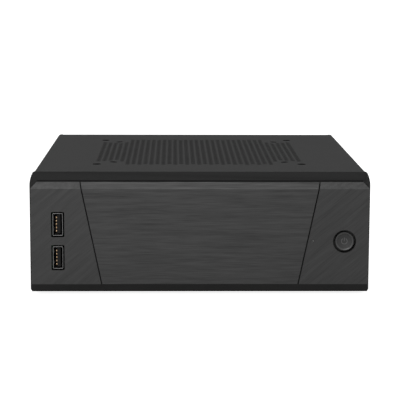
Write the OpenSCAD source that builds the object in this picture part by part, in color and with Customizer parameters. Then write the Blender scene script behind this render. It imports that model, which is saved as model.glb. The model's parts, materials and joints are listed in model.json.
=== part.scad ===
// Low mini PC: sheet steel case with a brushed three-panel front, around a Mini-ITX board.
// Origin at the middle of the footprint on the desk. +Z up, the front looks along -Y.
// +X is on the right for someone facing the front.

/* [Case] */
// Width of the front
body_w = 200; // [198:1:204]
// Width of the steel cover behind the front
cover_w = 195.4; // [195:0.1:197]
// Depth from the front face to the rear screw heads
case_d = 200; // [200:1:206]
// Height of the case without its feet
body_h = 71.1; // [70.5:0.1:76]
// Height of the rubber feet
foot_h = 2; // [1.5:0.5:4]
// Thickness of the sheet steel
sheet = 1; // [0.8:0.1:1.2]
// Outer radius of the cover's two long bends
cover_bend = 2; // [1.6:0.1:2.4]

/* [Front] */
// Height of the plain strip above the front panels
strip_h = 6; // [5:0.5:7]
// Height and depth of the bevel along the panels' top
bevel = 3.7; // [3:0.1:4.3]
// Height of the bevel along the front's bottom
lower_bevel_h = 4.7; // [3:0.1:5]
// Depth of the bevel along the front's bottom
lower_bevel_d = 2; // [1:0.1:3]
// Thickness of the brushed front panels
panel_t = 1.6; // [1.2:0.1:2]
// Half width of the centre panel along its top edge
centre_half_top = 70; // [60:0.1:71]
// Half width of the centre panel along its bottom edge
centre_half_bottom = 57.5; // [50:0.1:58]
// Width of the seams between the front panels
seam = 0.7; // [0.4:0.1:1]
// Diameter of the power button
button_d = 11; // [10:0.1:11.4]
// Travel of the power button
button_travel = 1.2; // [0.8:0.1:1.4]

/* [Top vent] */
// Centre distance of neighbouring vent holes
vent_pitch = 4.2; // [4.2:0.1:5]
// Diameter of a vent hole
vent_hole_d = 2.9; // [2:0.1:3.2]
// Hole square of the large fan mount
large_fan_square = 124.5; // [124:0.5:125]
// Hole square of the small fan mount
small_fan_square = 105; // [104.5:0.5:105.5]

/* [Cooler] */
// Width of the cooler and its fan
cooler_w = 80; // [76:1:80]
// Number of fan blades
blade_count = 7; // [5:1:9]
// Number of heatsink fins
fin_count = 21; // [15:1:23]

/* [Hidden] */
$fn = 48;
half_w = body_w / 2;
cover_half = cover_w / 2;
body_bottom = foot_h;
body_top = foot_h + body_h;
front_y = -case_d / 2;
back_y = case_d / 2;
gap = 0.3;                          // clearance between neighbouring casing pieces

// Cover, walls and floor
cover_front = front_y + 6;
head_h = 2;                         // height of a rear screw head
lip_face = back_y - head_h;         // outer face of the cover's rear lip
rear_face = lip_face - sheet;       // outer face of the rear panel
floor_top = body_bottom + sheet;
lid_under = body_top - sheet;
inner_half = cover_half - sheet - gap;  // half width of the floor and the walls
wall_front = front_y + 13;          // front face of the chassis front wall
wall_back = wall_front + sheet;
lip_h = 8;
cover_screw_x = [-70, 0, 70];
cover_screw_z = body_top - 4.2;
rivet_x = [-70, 0, 70];

// Front face
strip_y = front_y + bevel + 0.4;    // face of the plain strip
field_y = front_y + panel_t;        // face that the panels lie on
fascia_half = half_w - 0.9;
panel_bottom = body_bottom + lower_bevel_h;
panel_top = body_top - strip_h;
corner_cut = 3.4;
shoulder_h = 8.5;                   // height over which the front narrows to the cover's width
shoulder_r = 17;
groove_h = 0.9;                     // shadow line between the strip and the panels
bend_rise = panel_t * tan(22.5);    // how much lower a bend sits on the inside of a panel
usb_x = -83.4;
usb_z = [22.6, 42.3];
usb_w = 13.2;
usb_t = 5.9;
usb_wall = 0.35;
tongue_x = usb_x - 0.6;             // contact side of the sockets' tongues
button_x = 84.9;
button_z = 32.3;
bore_d = button_d + 2.2;            // opening around the button
led_x = 66.4;
led_z = 32.6;
pinhole_d = 1.2;
flange_y = strip_y + 0.5;           // front of the button's retaining flange
switch_y = wall_front - 2;          // front of the switch body
panel_board_y = switch_y + 5;       // front of the panel board
panel_screw_x = 74;
panel_screw_z = [25.5, 37.5];
hook_x = [-62, 62];
hook_z = [8, 64];
usb_board_x = usb_x - usb_t / 2;    // side of the USB board that carries the sockets
usb_screw_z = [16, 48];

// Top vent and fan mounts
vent_y = cover_front + 94;
vent_wide = [65, 51.7];             // half sizes of the vent's wide arm
vent_long = [47, 67];               // half sizes of the vent's long arm
hole_rim = 3;                       // plain border inside the vent's outline
slot_d = 3.4;
slot_l = 5;
round_d = 5;

// Board
board_w = 170;
board_t = 1.6;
standoff_h = 6.5;
board_under = floor_top + standoff_h;
board_top = board_under + board_t;
board_back = rear_face - sheet - 0.5;
board_front = board_back - board_w;
board_holes = [
    [-board_w / 2 + 6.35, board_back - 10.16],
    [-board_w / 2 + 163.83, board_back - 33.02],
    [-board_w / 2 + 6.35, board_back - 165.1],
    [-board_w / 2 + 163.83, board_back - 165.1]
];
cpu_at = [8, 28];
pin_square = 75;
cooler_base = board_top + 7.6;      // underside of the heatsink
fin_base = cooler_base + 4;
fan_z = fin_base + 20;              // underside of the fan
fan_t = 15;
fan_hole = 71.5;
fan_bore = cooler_w - 4;
hub_r = 17;
memory_y = [-54.5, -45];
memory_x = -2;

// Rear sockets: centre, width, height above the board
aperture = [158.75, 44.45];
aperture_z = board_top - 3.5;
port_face = lip_face;
audio = [-66, 12.6, 35];
lan = [-44, 17, 30];
usb_a = [-21, 14.8, 16];
hdmi = [0, 15.4, 6.2];
displayport = [20, 16.4, 5.8];
usb_b = [42, 14.8, 16];
rear_ports = [audio, lan, usb_a, hdmi, displayport, usb_b];
jack_x = 89;
jack_z = 30;

// Drive
drive = [100, 69.85, 7];
drive_y = -50.5;
tray_z = 49;
drive_holes = [76.6, 61.72];
leg_x = 87.5;
leg_y = [-36, -20];
leg_screw = [leg_x + 4.2, (leg_y[0] + leg_y[1]) / 2];

// Small parts on the board
memory_h = 8;
coin_at = [-52, -18];
converter_x = [73.2, 82.8];
converter_y = [-14, 38];
header_y = -71.5;
sata_x = [71.5, 78.5];
sata_w = 6;

// Leads, each through the middle of its plugs
usb_route = [[-80, -73, 32], [-74, -73, 32], [-64, -70, 30], [-60, -68, 26], [-60, -68, 23]];
panel_route = [[91, -76, 31.5], [91, -73, 30], [80, -71, 26], [62, -69.5, 25], [55, -69, 22], [54, -69, 19]];
dc_route = [[89, 81.5, 30], [89, 74, 31], [88, 62, 38], [84, 48, 46], [81.4, 41, 47], [81.4, 35.5, 47]];
sata_route = [
    [74.5, -52, 30], [74.5, -52, 38], [75, -51, 47],
    [72, -51, 53], [66, -51, 53.5], [62, -51, 53.5]
];
power_route = [
    [81.4, -14.5, 36.6], [81.4, -22, 37], [82, -36, 40], [82, -50, 44],
    [80, -62, 50], [72, -68, 53], [62, -68.5, 53.5]
];

// ---- Helpers ----

// Low and high end of a stretch of width w: around c, or starting at a
function about(c, w) = [c - w / 2, c + w / 2];
function from(a, w) = [a, a + w];

// Box given by its low and high end along each axis
module block(x, y, z) {
    translate([x[0], y[0], z[0]]) cube([x[1] - x[0], y[1] - y[0], z[1] - z[0]]);
}

// Outline in X and Z, run along Y
module along_y(y0, y1) {
    translate([0, y1, 0]) rotate([90, 0, 0]) linear_extrude(y1 - y0) children();
}

// Outline in Y and Z, run along X
module along_x(x0, x1) {
    translate([x0, 0, 0]) rotate([90, 0, 90]) linear_extrude(x1 - x0) children();
}

module rod_y(x, z, y0, y1, d) {
    translate([x, y1, z]) rotate([90, 0, 0]) cylinder(h = y1 - y0, d = d);
}

module rod_z(x, y, z0, z1, d) {
    translate([x, y, z0]) cylinder(h = z1 - z0, d = d);
}

// Front view of the cover: straight sides, rounded upper corners
module arch(inset) {
    half = cover_half - inset;
    r = max(cover_bend - inset, 0.3);
    top = body_top - inset;
    bottom = body_bottom + inset;
    translate([-half, bottom]) square([2 * half, top - r - bottom]);
    translate([r - half, bottom]) square([2 * (half - r), top - bottom]);
    for (side = [-1, 1]) translate([side * (half - r), top - r]) circle(r);
}

// Front view of the two upright walls, which follow the inside of the cover
module wall_outline() {
    arch(sheet + gap);
    translate([-inner_half, floor_top]) square([2 * inner_half, body_h / 2]);
}

// A round-ended slot along X
module slot_2d(length, width) {
    square([length - width, width], center = true);
    for (side = [-1, 1]) translate([side * (length - width) / 2, 0]) circle(d = width, $fn = 24);
}

// The four corners of a square
module corners(size) {
    for (sx = [-1, 1], sy = [-1, 1]) translate([sx * size / 2, sy * size / 2]) children();
}

// Pan-head screw pointing down, its seat at z = 0
module screw(d, head_d, head_t, length) {
    difference() {
        cylinder(h = head_t, d = head_d);
        for (turn = [0, 90]) rotate(turn) translate([0, 0, head_t])
            cube([head_d * 0.6, head_d * 0.14, head_t], center = true);
    }
    translate([0, 0, -length]) cylinder(h = length, d = d);
}

// ---- Casing ----

// The perforated field: a wide arm and a long arm, which leaves the corners to the fan mounts
module vent_outline(grow = 0) {
    for (half = [vent_wide, vent_long])
        square([2 * (half[0] + grow), 2 * (half[1] + grow)], center = true);
}

module vent_holes() {
    step = vent_pitch * cos(30);
    columns = floor((vent_wide[0] - hole_rim) / step);
    rows = ceil(vent_long[1] / vent_pitch);
    for (i = [-columns : columns], j = [-rows : rows]) {
        x = i * step;
        y = (j + (i % 2 == 0 ? 0 : 0.5)) * vent_pitch;
        beside_slot = abs(abs(x) - small_fan_square / 2) < hole_rim;
        arm = abs(x) > vent_long[0] - hole_rim / 2 ? vent_wide[1] : vent_long[1];
        reach = arm - hole_rim - (beside_slot ? vent_pitch : 0);
        if (abs(y) <= reach) translate([x, y]) circle(d = vent_hole_d, $fn = 24);
    }
}

module fan_mount_holes() {
    corners(large_fan_square) circle(d = round_d);
    for (turn = [0 : 90 : 270]) rotate(turn)
        translate([small_fan_square / 2, small_fan_square / 2])
            rotate(-45) slot_2d(slot_l, slot_d);
}

module side_slots() {
    for (i = [0 : 9]) translate([10 + i * 7, body_bottom + body_h / 2])
        rotate(90) slot_2d(28, 3);
}

module top_cover() {
    lip_half = cover_half - cover_bend - 2;
    color("#3a3a3b") difference() {
        union() {
            along_y(cover_front, lip_face) difference() {
                arch(0);
                intersection() {
                    arch(sheet);
                    translate([-cover_half, 0]) square([cover_w, lid_under]);
                }
                translate([sheet - cover_half, 0]) square([2 * (cover_half - sheet), body_top / 2]);
            }
            block([-lip_half, lip_half], [rear_face, lip_face],
                [body_top - lip_h, lid_under + sheet / 2]);
        }
        translate([0, vent_y, lid_under - 1]) linear_extrude(sheet + 2) {
            vent_outline();
            fan_mount_holes();
        }
        along_x(-half_w - 1, half_w + 1) side_slots();
        for (x = cover_screw_x) rod_y(x, cover_screw_z, rear_face - 1, lip_face + 1, 3.4);
    }
}

module vent_grille() {
    color("#3a3a3b") translate([0, vent_y, lid_under]) linear_extrude(sheet) difference() {
        vent_outline(-0.1);
        vent_holes();
        fan_mount_holes();
    }
}

module base_pan() {
    color("#2c2c2d") difference() {
        union() {
            block([-inner_half, inner_half], [wall_front, rear_face], [body_bottom, floor_top]);
            for (side = [0, 1]) mirror([side, 0, 0])
                block([inner_half - sheet, inner_half], [wall_front + 3, rear_face - 3],
                    [floor_top, floor_top + 8]);
        }
        translate([0, 0, body_bottom - 1]) {
            for (size = [75, 100]) corners(size) cylinder(h = sheet + 2, d = 4.4);
            for (hole = board_holes) translate(hole) cylinder(h = sheet + 2, d = 3.2);
            for (x = rivet_x, y = [wall_back + 5, rear_face - 4])
                translate([x, y]) cylinder(h = sheet + 2, d = 3.2);
            for (side = [-1, 1]) translate([side * leg_screw[0], leg_screw[1]])
                cylinder(h = sheet + 2, d = 3.2);
            for (i = [-4 : 4]) translate([i * 6, 0]) linear_extrude(sheet + 2)
                rotate(90) slot_2d(44, 3);
        }
    }
}

// Upright steel wall behind the bezel, with a tab for the USB board
module chassis_front() {
    tab_x = usb_board_x - 1.6;
    cut_y = [wall_front - 1, wall_back + 1];
    color("#8f9294") difference() {
        union() {
            along_y(wall_front, wall_back) wall_outline();
            block([-80, 80], [wall_back, wall_back + 9], [floor_top, floor_top + sheet]);
            block([tab_x - sheet, tab_x], [wall_back, wall_back + 22], [12, 52]);
        }
        block([tab_x, -74], cut_y, [8, 56]);
        block([57, 94.5], cut_y, [20, 44]);
        block([-20.5, 20.5], cut_y, [tray_z - gap, tray_z + sheet + gap]);
        for (x = hook_x, z = hook_z) block(about(x, 9.2), cut_y, [z - 0.4, z + 3.2]);
        for (x = rivet_x) rod_z(x, wall_back + 5, floor_top - 1, floor_top + 3, 3.2);
        for (z = usb_screw_z)
            translate([tab_x - 2, wall_back + 17, z]) rotate([0, 90, 0]) cylinder(h = 4, d = 2.4);
    }
}

module rear_panel() {
    cut_y = [rear_face - 2, rear_face + 1];
    color("#8f9294") difference() {
        union() {
            along_y(rear_face - sheet, rear_face) wall_outline();
            block([-80, 80], [rear_face - 7, rear_face - sheet], [floor_top, floor_top + sheet]);
        }
        block(about(0, aperture[0]), cut_y, from(aperture_z, aperture[1]));
        along_y(cut_y[0], cut_y[1]) for (i = [-10 : 10])
            translate([i * 8, aperture_z + aperture[1] + 6]) rotate(90) slot_2d(7, 3.4);
        rod_y(jack_x, jack_z, cut_y[0], cut_y[1], 8.2);
        for (x = cover_screw_x) rod_y(x, cover_screw_z, cut_y[0], cut_y[1], 3.2);
        for (x = rivet_x) rod_z(x, rear_face - 4, floor_top - 1, floor_top + 3, 3.2);
    }
}

module io_shield() {
    color("#b9bcbe") difference() {
        block(about(0, aperture[0]), [rear_face - 0.8, rear_face - 0.3], from(aperture_z, aperture[1]));
        for (port = rear_ports)
            block(about(port[0], port[1] + 2 * gap), [rear_face - 2, rear_face + 1],
                [board_top - gap, board_top + port[2] + gap]);
    }
}

module chassis_rivets() {
    color("#9fa2a4") for (x = rivet_x, y = [wall_back + 5, rear_face - 4]) {
        rod_z(x, y, body_bottom - 0.6, body_bottom, 5);
        rod_z(x, y, body_bottom, floor_top + sheet, 3);
        rod_z(x, y, floor_top + sheet, floor_top + sheet + 0.6, 5);
    }
}

module cover_screws() {
    color("#2a2a2b") for (x = cover_screw_x)
        translate([x, lip_face, cover_screw_z]) rotate([-90, 0, 0]) screw(3, 6, head_h, 5);
}

module rubber_feet() {
    color("#1c1c1c") for (sx = [-1, 1], sy = [-1, 1])
        translate([sx * (half_w - 20), sy * (case_d / 2 - 24), 0]) rotate_extrude()
            polygon([[0, 0], [5.6, 0], [7, foot_h], [0, foot_h]]);
}

// ---- Front ----

// Front view of the bezel, whose shoulders curve in to the cover
module bezel_outline() {
    side = [for (k = [0 : 6]) let (rise = k / 6 * (shoulder_h - 0.6))
        [half_w - shoulder_r + sqrt(shoulder_r * shoulder_r - rise * rise), body_top - shoulder_h + rise]];
    foot = [[0, body_bottom], [half_w - 0.8, body_bottom], [half_w, body_bottom + 0.8]];
    for (turn = [0, 1]) mirror([turn, 0])
        polygon(concat(foot, side, [[half_w - 3.2, body_top], [0, body_top]]));
}

// Section of the front field in Y and Z, and of the ledge with the lower bevel
module field_section() {
    polygon([
        [strip_y + 0.5, panel_bottom - 0.5], [field_y, panel_bottom - 0.5],
        [field_y, panel_top - bevel - bend_rise],
        [strip_y, panel_top - bevel - bend_rise + strip_y - field_y],
        [strip_y + 0.5, panel_top - bevel - bend_rise + strip_y - field_y]
    ]);
}

module ledge_section() {
    polygon([
        [strip_y + 0.5, body_bottom], [front_y + lower_bevel_d, body_bottom],
        [front_y, panel_bottom], [strip_y + 0.5, panel_bottom]
    ]);
}

// Section of a panel: upright face with a bent upper edge
module panel_section() {
    inner_bend = panel_top - bevel - bend_rise;
    polygon([
        [front_y, panel_bottom], [front_y, panel_top - bevel],
        [front_y + bevel, panel_top], [strip_y, panel_top],
        [strip_y, inner_bend + strip_y - field_y], [field_y, inner_bend],
        [field_y, panel_bottom]
    ]);
}

module usb_windows(y0, y1, grow) {
    for (z = usb_z)
        block(about(usb_x, usb_t + 2 * grow), [y0, y1], about(z, usb_w + 2 * grow));
}

// Snap hook of the bezel that passes through the chassis wall
module hook() {
    along_x(-4, 4) polygon([
        [cover_front - 0.5, 0], [wall_back + 3, 0], [wall_back + 3, 1.2],
        [wall_back + 0.3, 2.6], [wall_back + 0.3, 1.5], [cover_front - 0.5, 1.5]
    ]);
}

module front_bezel() {
    sleeve_back = wall_front - 2.5;
    color("#262626") difference() {
        union() {
            along_y(strip_y, cover_front) bezel_outline();
            along_y(cover_front, cover_front + 6) difference() {
                arch(sheet + gap);
                arch(sheet + gap + 1.5);
            }
            along_x(-fascia_half + 1, fascia_half - 1) field_section();
            along_x(-fascia_half, fascia_half) ledge_section();
            rod_y(button_x, button_z, cover_front - 0.5, sleeve_back, bore_d + 4);
            for (z = panel_screw_z) rod_y(panel_screw_x, z, cover_front - 0.5, wall_back + 2, 5);
            rod_y(led_x, led_z, cover_front - 0.5, cover_front + 2, 6);
            for (x = hook_x, z = hook_z) translate([x, 0, z]) hook();
        }
        usb_windows(front_y - 1, cover_front + 1, 0.9);
        block(about(0, 2 * (fascia_half - corner_cut)), about(strip_y, 2), from(panel_top, groove_h));
        rod_y(button_x, button_z, front_y - 1, sleeve_back + 1, bore_d);
        rod_y(button_x, button_z, strip_y + 0.3, sleeve_back + 1, bore_d + 1.9);
        rod_y(led_x, led_z, front_y - 1, cover_front + 4, 2.6);
        for (z = panel_screw_z) rod_y(panel_screw_x, z, cover_front + 1, wall_back + 3, 1.8);
    }
}

module centre_panel() {
    color("#424243") intersection() {
        along_x(-centre_half_top - 1, centre_half_top + 1) panel_section();
        along_y(front_y - 1, strip_y + 1) polygon([
            [-centre_half_bottom, panel_bottom], [centre_half_bottom, panel_bottom],
            [centre_half_top, panel_top], [-centre_half_top, panel_top]
        ]);
    }
}

// The wing on the right; the left one is its mirror image
module wing_blank() {
    intersection() {
        along_x(centre_half_bottom - 5, half_w) panel_section();
        along_y(front_y - 1, strip_y + 1) polygon([
            [centre_half_bottom + seam, panel_bottom], [fascia_half, panel_bottom],
            [fascia_half, panel_top - corner_cut], [fascia_half - corner_cut, panel_top],
            [centre_half_top + seam, panel_top]
        ]);
    }
}

module left_wing_panel() {
    color("#3f3f40") difference() {
        mirror([1, 0, 0]) wing_blank();
        usb_windows(front_y - 1, strip_y, 0.9);
    }
}

module right_wing_panel() {
    color("#3f3f40") difference() {
        wing_blank();
        rod_y(button_x, button_z, front_y - 1, strip_y, bore_d + 0.4);
        rod_y(led_x, led_z, front_y - 1, strip_y, pinhole_d);
    }
}

// ---- Power button and status light ----

module power_button() {
    dish_r = 26;
    color("#333334") difference() {
        union() {
            rod_y(button_x, button_z, front_y, flange_y + 1.2, button_d);
            rod_y(button_x, button_z, flange_y, flange_y + 1.2, bore_d + 1.1);
            rod_y(button_x, button_z, flange_y + 1.2, switch_y - 2, 4);
        }
        translate([button_x, front_y - dish_r + 0.5, button_z]) sphere(dish_r, $fn = 96);
    }
}

module switch_plunger() {
    color("#e8e6e0") block(about(button_x, 3.2), [switch_y - 2, switch_y + 2], about(button_z, 3.2));
}

// A point on the spring, n turns of radius r from y0 to y1
function coil(t, r, y0, y1, n) =
    [button_x + r * cos(360 * n * t), y0 + (y1 - y0) * t, button_z + r * sin(360 * n * t)];

module button_spring() {
    wire = 0.6;
    turns = 4;
    rings = 96;
    y0 = flange_y + 1.2 + wire / 2 + 0.05;
    y1 = switch_y - wire / 2 - 0.05;
    color("#b8babc") tube([for (k = [0 : rings]) coil(k / rings, 4.1, y0, y1, turns)], wire, 6);
}

module power_switch() {
    color("#202020") difference() {
        block(about(button_x, 10), [switch_y, panel_board_y], about(button_z, 10));
        block(about(button_x, 3.8), [switch_y - 1, switch_y + 2 + button_travel + 0.4],
            about(button_z, 3.8));
    }
}

module panel_board() {
    color("#20552f") difference() {
        block([60, 95], [panel_board_y, panel_board_y + 1.6], [22, 42]);
        for (z = panel_screw_z) rod_y(panel_screw_x, z, panel_board_y - 1, panel_board_y + 3, 2.2);
    }
}

module panel_screws() {
    color("#9fa2a4") for (z = panel_screw_z)
        translate([panel_screw_x, panel_board_y + 1.6, z]) rotate([-90, 0, 0]) screw(1.7, 4, 1.4, 8);
}

module power_led() {
    color("#dfe6ee") {
        rod_y(led_x, led_z, panel_board_y - 1.5, panel_board_y, 3.8);
        rod_y(led_x, led_z, cover_front + 4, panel_board_y - 1.5, 3);
    }
}

module light_pipe() {
    color("#e9eef2") {
        rod_y(led_x, led_z, front_y + 0.8, field_y, pinhole_d - 0.2);
        rod_y(led_x, led_z, field_y, cover_front + 3.5, 2.2);
    }
}

// ---- Front USB ----

module front_usb_shells() {
    color("#c9cbcd") for (z = usb_z) difference() {
        block(about(usb_x, usb_t), [front_y + 0.3, front_y + 18], about(z, usb_w));
        block(about(usb_x, usb_t - 2 * usb_wall), [front_y, front_y + 17.6],
            about(z, usb_w - 2 * usb_wall));
    }
}

module front_usb_insulators() {
    color("#17181a") for (z = usb_z) {
        block(about(usb_x, usb_t - 2 * usb_wall), [front_y + 12, front_y + 17.6],
            about(z, usb_w - 2 * usb_wall));
        block(from(tongue_x, 2.2), [front_y + 1.4, front_y + 12], about(z, 11.2));
    }
}

module front_usb_contacts() {
    color("#c9a24e") for (z = usb_z) {
        for (i = [-2 : 2])
            block([tongue_x - 0.25, tongue_x], [front_y + 1.7, front_y + 4.6], about(z + i * 2, 0.7));
        for (i = [-3.5, -1, 1, 3.5])
            block([tongue_x - 0.25, tongue_x], [front_y + 5.4, front_y + 12], about(z + i, 1));
    }
}

module front_usb_board() {
    color("#20552f") {
        difference() {
            block([usb_board_x - 1.6, usb_board_x], [front_y + 8, wall_back + 22], [9, 55]);
            for (z = usb_screw_z)
                translate([usb_board_x - 2, wall_back + 17, z]) rotate([0, 90, 0]) cylinder(h = 3, d = 2.4);
        }
        block(from(usb_board_x, 6), [wall_back + 6, wall_back + 20], [26, 38]);
    }
}

module front_usb_screws() {
    color("#9fa2a4") for (z = usb_screw_z)
        translate([usb_board_x, wall_back + 17, z]) rotate([0, 90, 0]) screw(2, 4, 1.4, 4);
}

// ---- Board and what is on it ----

module motherboard() {
    color("#1d3a2c") difference() {
        block([-board_w / 2, board_w / 2], [board_front, board_back], [board_under, board_top]);
        for (hole = board_holes) rod_z(hole[0], hole[1], board_under - 1, board_top + 1, 4);
        translate([cpu_at[0], cpu_at[1], board_under - 1]) corners(pin_square) cylinder(h = 4, d = 4.2);
    }
}

module standoffs() {
    color("#c2a55c") for (hole = board_holes) difference() {
        union() {
            translate([hole[0], hole[1], floor_top]) cylinder(h = standoff_h, d = 5.8, $fn = 6);
            rod_z(hole[0], hole[1], body_bottom + 0.1, floor_top, 3);
        }
        rod_z(hole[0], hole[1], floor_top + 1, board_under + 1, 3.2);
    }
}

module motherboard_screws() {
    color("#9fa2a4") for (hole = board_holes) translate([hole[0], hole[1], board_top]) screw(3, 5.6, 2, 5);
}

module cpu_socket() {
    color("#3b3c3e") translate([cpu_at[0], cpu_at[1], board_top]) difference() {
        translate([-23, -23, 0]) cube([46, 46, 5.2]);
        translate([-19, -19, 3]) cube([38, 38, 5]);
    }
}

module cpu() {
    color("#b4b7b9") translate([cpu_at[0], cpu_at[1], board_top + 3]) {
        translate([-18.7, -18.7, 0]) cube([37.4, 37.4, 1.4]);
        translate([-15.5, -15.5, 1.4]) cube([31, 31, cooler_base - board_top - 4.4]);
    }
}

module heatsink() {
    pitch = (cooler_w - 1) / (fin_count - 1);
    color("#b9bcbf") translate([cpu_at[0], cpu_at[1], 0]) difference() {
        union() {
            translate([0, 0, cooler_base]) linear_extrude(fin_base - cooler_base)
                square(cooler_w, center = true);
            for (i = [0 : fin_count - 1])
                block(from(i * pitch - cooler_w / 2, 1), about(0, cooler_w), [fin_base - 0.5, fan_z]);
        }
        translate([0, 0, cooler_base - 1]) corners(pin_square) cylinder(h = 8, d = 5.4);
        translate([0, 0, fin_base]) corners(pin_square) cylinder(h = 11, d = 13);
        translate([0, 0, fin_base + 11]) corners(fan_hole) cylinder(h = 12, d = 3.4);
    }
}

module push_pins() {
    color("#e4e2dc") translate([cpu_at[0], cpu_at[1], 0]) corners(pin_square) {
        rod_z(0, 0, board_under - 1, board_top, 3.8);
        rod_z(0, 0, board_top, fin_base, 5);
        rod_z(0, 0, fin_base, fin_base + 7, 10);
    }
}

module fan_frame() {
    color("#1b1b1c") translate([cpu_at[0], cpu_at[1], fan_z]) {
        difference() {
            linear_extrude(fan_t) square(cooler_w, center = true);
            translate([0, 0, -1]) cylinder(h = fan_t + 2, d = fan_bore, $fn = 96);
            translate([0, 0, -1]) corners(fan_hole) cylinder(h = fan_t + 2, d = 3.4);
        }
        difference() {
            union() {
                cylinder(h = 2.4, r = hub_r + 1);
                for (turn = [0 : 90 : 270]) rotate(turn + 20)
                    translate([10, -1.5, 0]) cube([fan_bore / 2 - 9.6, 3, 2.4]);
                cylinder(h = 11, d = 8);
            }
            translate([0, 0, 1]) cylinder(h = 12, d = 3.1);
        }
    }
}

module fan_stator() {
    color("#a8683a") translate([cpu_at[0], cpu_at[1], fan_z + 3]) difference() {
        cylinder(h = 7, r = 13);
        translate([0, 0, -1]) cylinder(h = 9, d = 8.4);
        for (turn = [0 : 90 : 270]) rotate(turn + 45) translate([7, -1.2, -1]) cube([8, 2.4, 9]);
    }
}

module fan_rotor() {
    color("#242425") translate([cpu_at[0], cpu_at[1], fan_z]) {
        difference() {
            translate([0, 0, 3.4]) cylinder(h = 11.2, r = hub_r);
            translate([0, 0, 2]) cylinder(h = 10.8, r = hub_r - 1.5);
        }
        translate([0, 0, 1.4]) cylinder(h = 12, d = 3);
        intersection() {
            difference() {
                translate([0, 0, 3.6]) cylinder(h = 10.6, r = fan_bore / 2 - 0.9, $fn = 96);
                translate([0, 0, 2]) cylinder(h = 14, r = hub_r - 0.6);
            }
            for (i = [0 : blade_count - 1]) rotate(i * 360 / blade_count) translate([0, 0, 8.9])
                rotate([38, 0, 0]) translate([hub_r - 4, -12, -0.6]) cube([fan_bore / 2, 24, 1.2]);
        }
    }
}

module fan_screws() {
    color("#2a2a2b") translate([cpu_at[0], cpu_at[1], fan_z + fan_t])
        corners(fan_hole) screw(3, 5.6, 1.8, fan_t + 4);
}

module memory_sockets() {
    color("#1b1b1c") for (y = memory_y) difference() {
        block(about(memory_x, 140), about(y, 6.4), from(board_top, memory_h));
        block(about(memory_x, 133.8), about(y, 1.6), from(board_top + 2.9, memory_h));
    }
}

module memory_modules() {
    foot = board_top + 3;
    for (y = memory_y) {
        color("#1f4a35") block(about(memory_x, 133.2), about(y, 1.3), [foot, foot + 30]);
        color("#222223") for (i = [0 : 7])
            block(from(memory_x - 59 + i * 15.4, 10.4), from(y + 0.65, 1.1), [foot + 11, foot + 24]);
    }
}

module chipset_heatsink() {
    color("#303134") {
        block([-66, -38], [4, 36], [board_top, board_top + 3]);
        for (i = [0 : 6]) block(from(-66 + i * 4.4, 1.6), [4, 36], [board_top + 3, board_top + 9]);
    }
}

module expansion_slot() {
    color("#1b1b1c") difference() {
        block([-80, -72.4], [-30, 59], [board_top, board_top + 11]);
        block([-77, -75.4], [-28, 57], [board_top + 3, board_top + 12]);
    }
}

module chokes() {
    color("#55585b") for (i = [0 : 4]) block(from(-18 + i * 10, 7), [58, 65], [board_top, board_top + 5]);
}

module capacitors() {
    color("#7b7f83") for (i = [0 : 5]) rod_z(56, i * 10, board_top, board_top + 9, 6.3);
}

module coin_cell() {
    color("#c8cacc") rod_z(coin_at[0], coin_at[1], board_top + 1, board_top + 4.2, 20);
    color("#1b1b1c") rod_z(coin_at[0], coin_at[1], board_top, board_top + 1, 22);
}

module power_header() {
    color("#d9d6cc") block(converter_x, converter_y, from(board_top, 13));
}

module dc_converter() {
    z = board_top + 13;
    color("#1b1b1c") block(converter_x, converter_y, from(z, 5));
    color("#1d3a2c") block([77.2, 78.8], converter_y, [z + 5, z + 32]);
    color("#55585b") for (i = [0 : 2]) block([71.2, 77.2], from(-10 + i * 16, 11), [z + 12, z + 23]);
    color("#d9d6cc") block([78.8, 84], [26, 35], [z + 19, z + 27]);
    color("#d9d6cc") block([78.8, 84], [-14, -5], [z + 9, z + 16]);
}

module sata_ports() {
    color("#1b1b1c") for (x = sata_x) difference() {
        block(from(x, sata_w), [-61, -43], from(board_top, 8.4));
        block(from(x + 1, sata_w - 2), [-59.5, -44.5], from(board_top + 2, 7));
    }
}

module pin_headers() {
    color("#1b1b1c") {
        block([-74, -46], from(header_y, 7), from(board_top, 8));
        block([46, 62], from(header_y, 5), from(board_top, 6));
    }
}

// ---- Rear sockets ----

// Block of a rear socket, from its face inward
module port_block(port, depth, z0, z1) {
    block(about(port[0], port[1]), [port_face - depth, port_face], [board_top + z0, board_top + z1]);
}

// One upright-stacked USB-A opening with its tongue, lowest point at z0
module usb_opening(x, z0, depth) {
    difference() {
        block(about(x, 12.5), [port_face - depth, port_face + 1], from(z0, 5.2));
        block(about(x, 11.2), [port_face - depth - 1, port_face - 1.4], from(z0 + 2.7, 1.8));
    }
}

module usb_tower(port) {
    color("#c3c5c7") difference() {
        port_block(port, 24, 0, 16);
        for (i = [0, 1]) usb_opening(port[0], board_top + 1.6 + i * 7.6, 10);
    }
}

module rear_usb_stacks() {
    usb_tower(usb_a);
    usb_tower(usb_b);
}

module lan_usb_stack() {
    color("#c3c5c7") difference() {
        port_block(lan, 24, 0, lan[2]);
        for (i = [0, 1]) usb_opening(lan[0], board_top + 1.4 + i * 7.4, 10);
        block(about(lan[0], 11.8), [port_face - 12, port_face + 1], from(board_top + 18.6, 7.8));
        block(about(lan[0], 6.2), [port_face - 12, port_face + 1], from(board_top + 17, 2));
    }
}

module video_ports() {
    color("#c3c5c7") for (port = [hdmi, displayport]) difference() {
        port_block(port, 14, 0, port[2]);
        difference() {
            port_block([port[0], port[1] - 1, 0], 9, 0.6, port[2] - 0.6);
            port_block([port[0], port[1] - 4, 0], 12, port[2] / 2 - 0.5, port[2] / 2 + 0.9);
        }
        block(about(port[0], port[1] - 3), [port_face - 1, port_face + 1],
            from(board_top + port[2] / 2 - 0.5, 1.4));
    }
}

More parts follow.
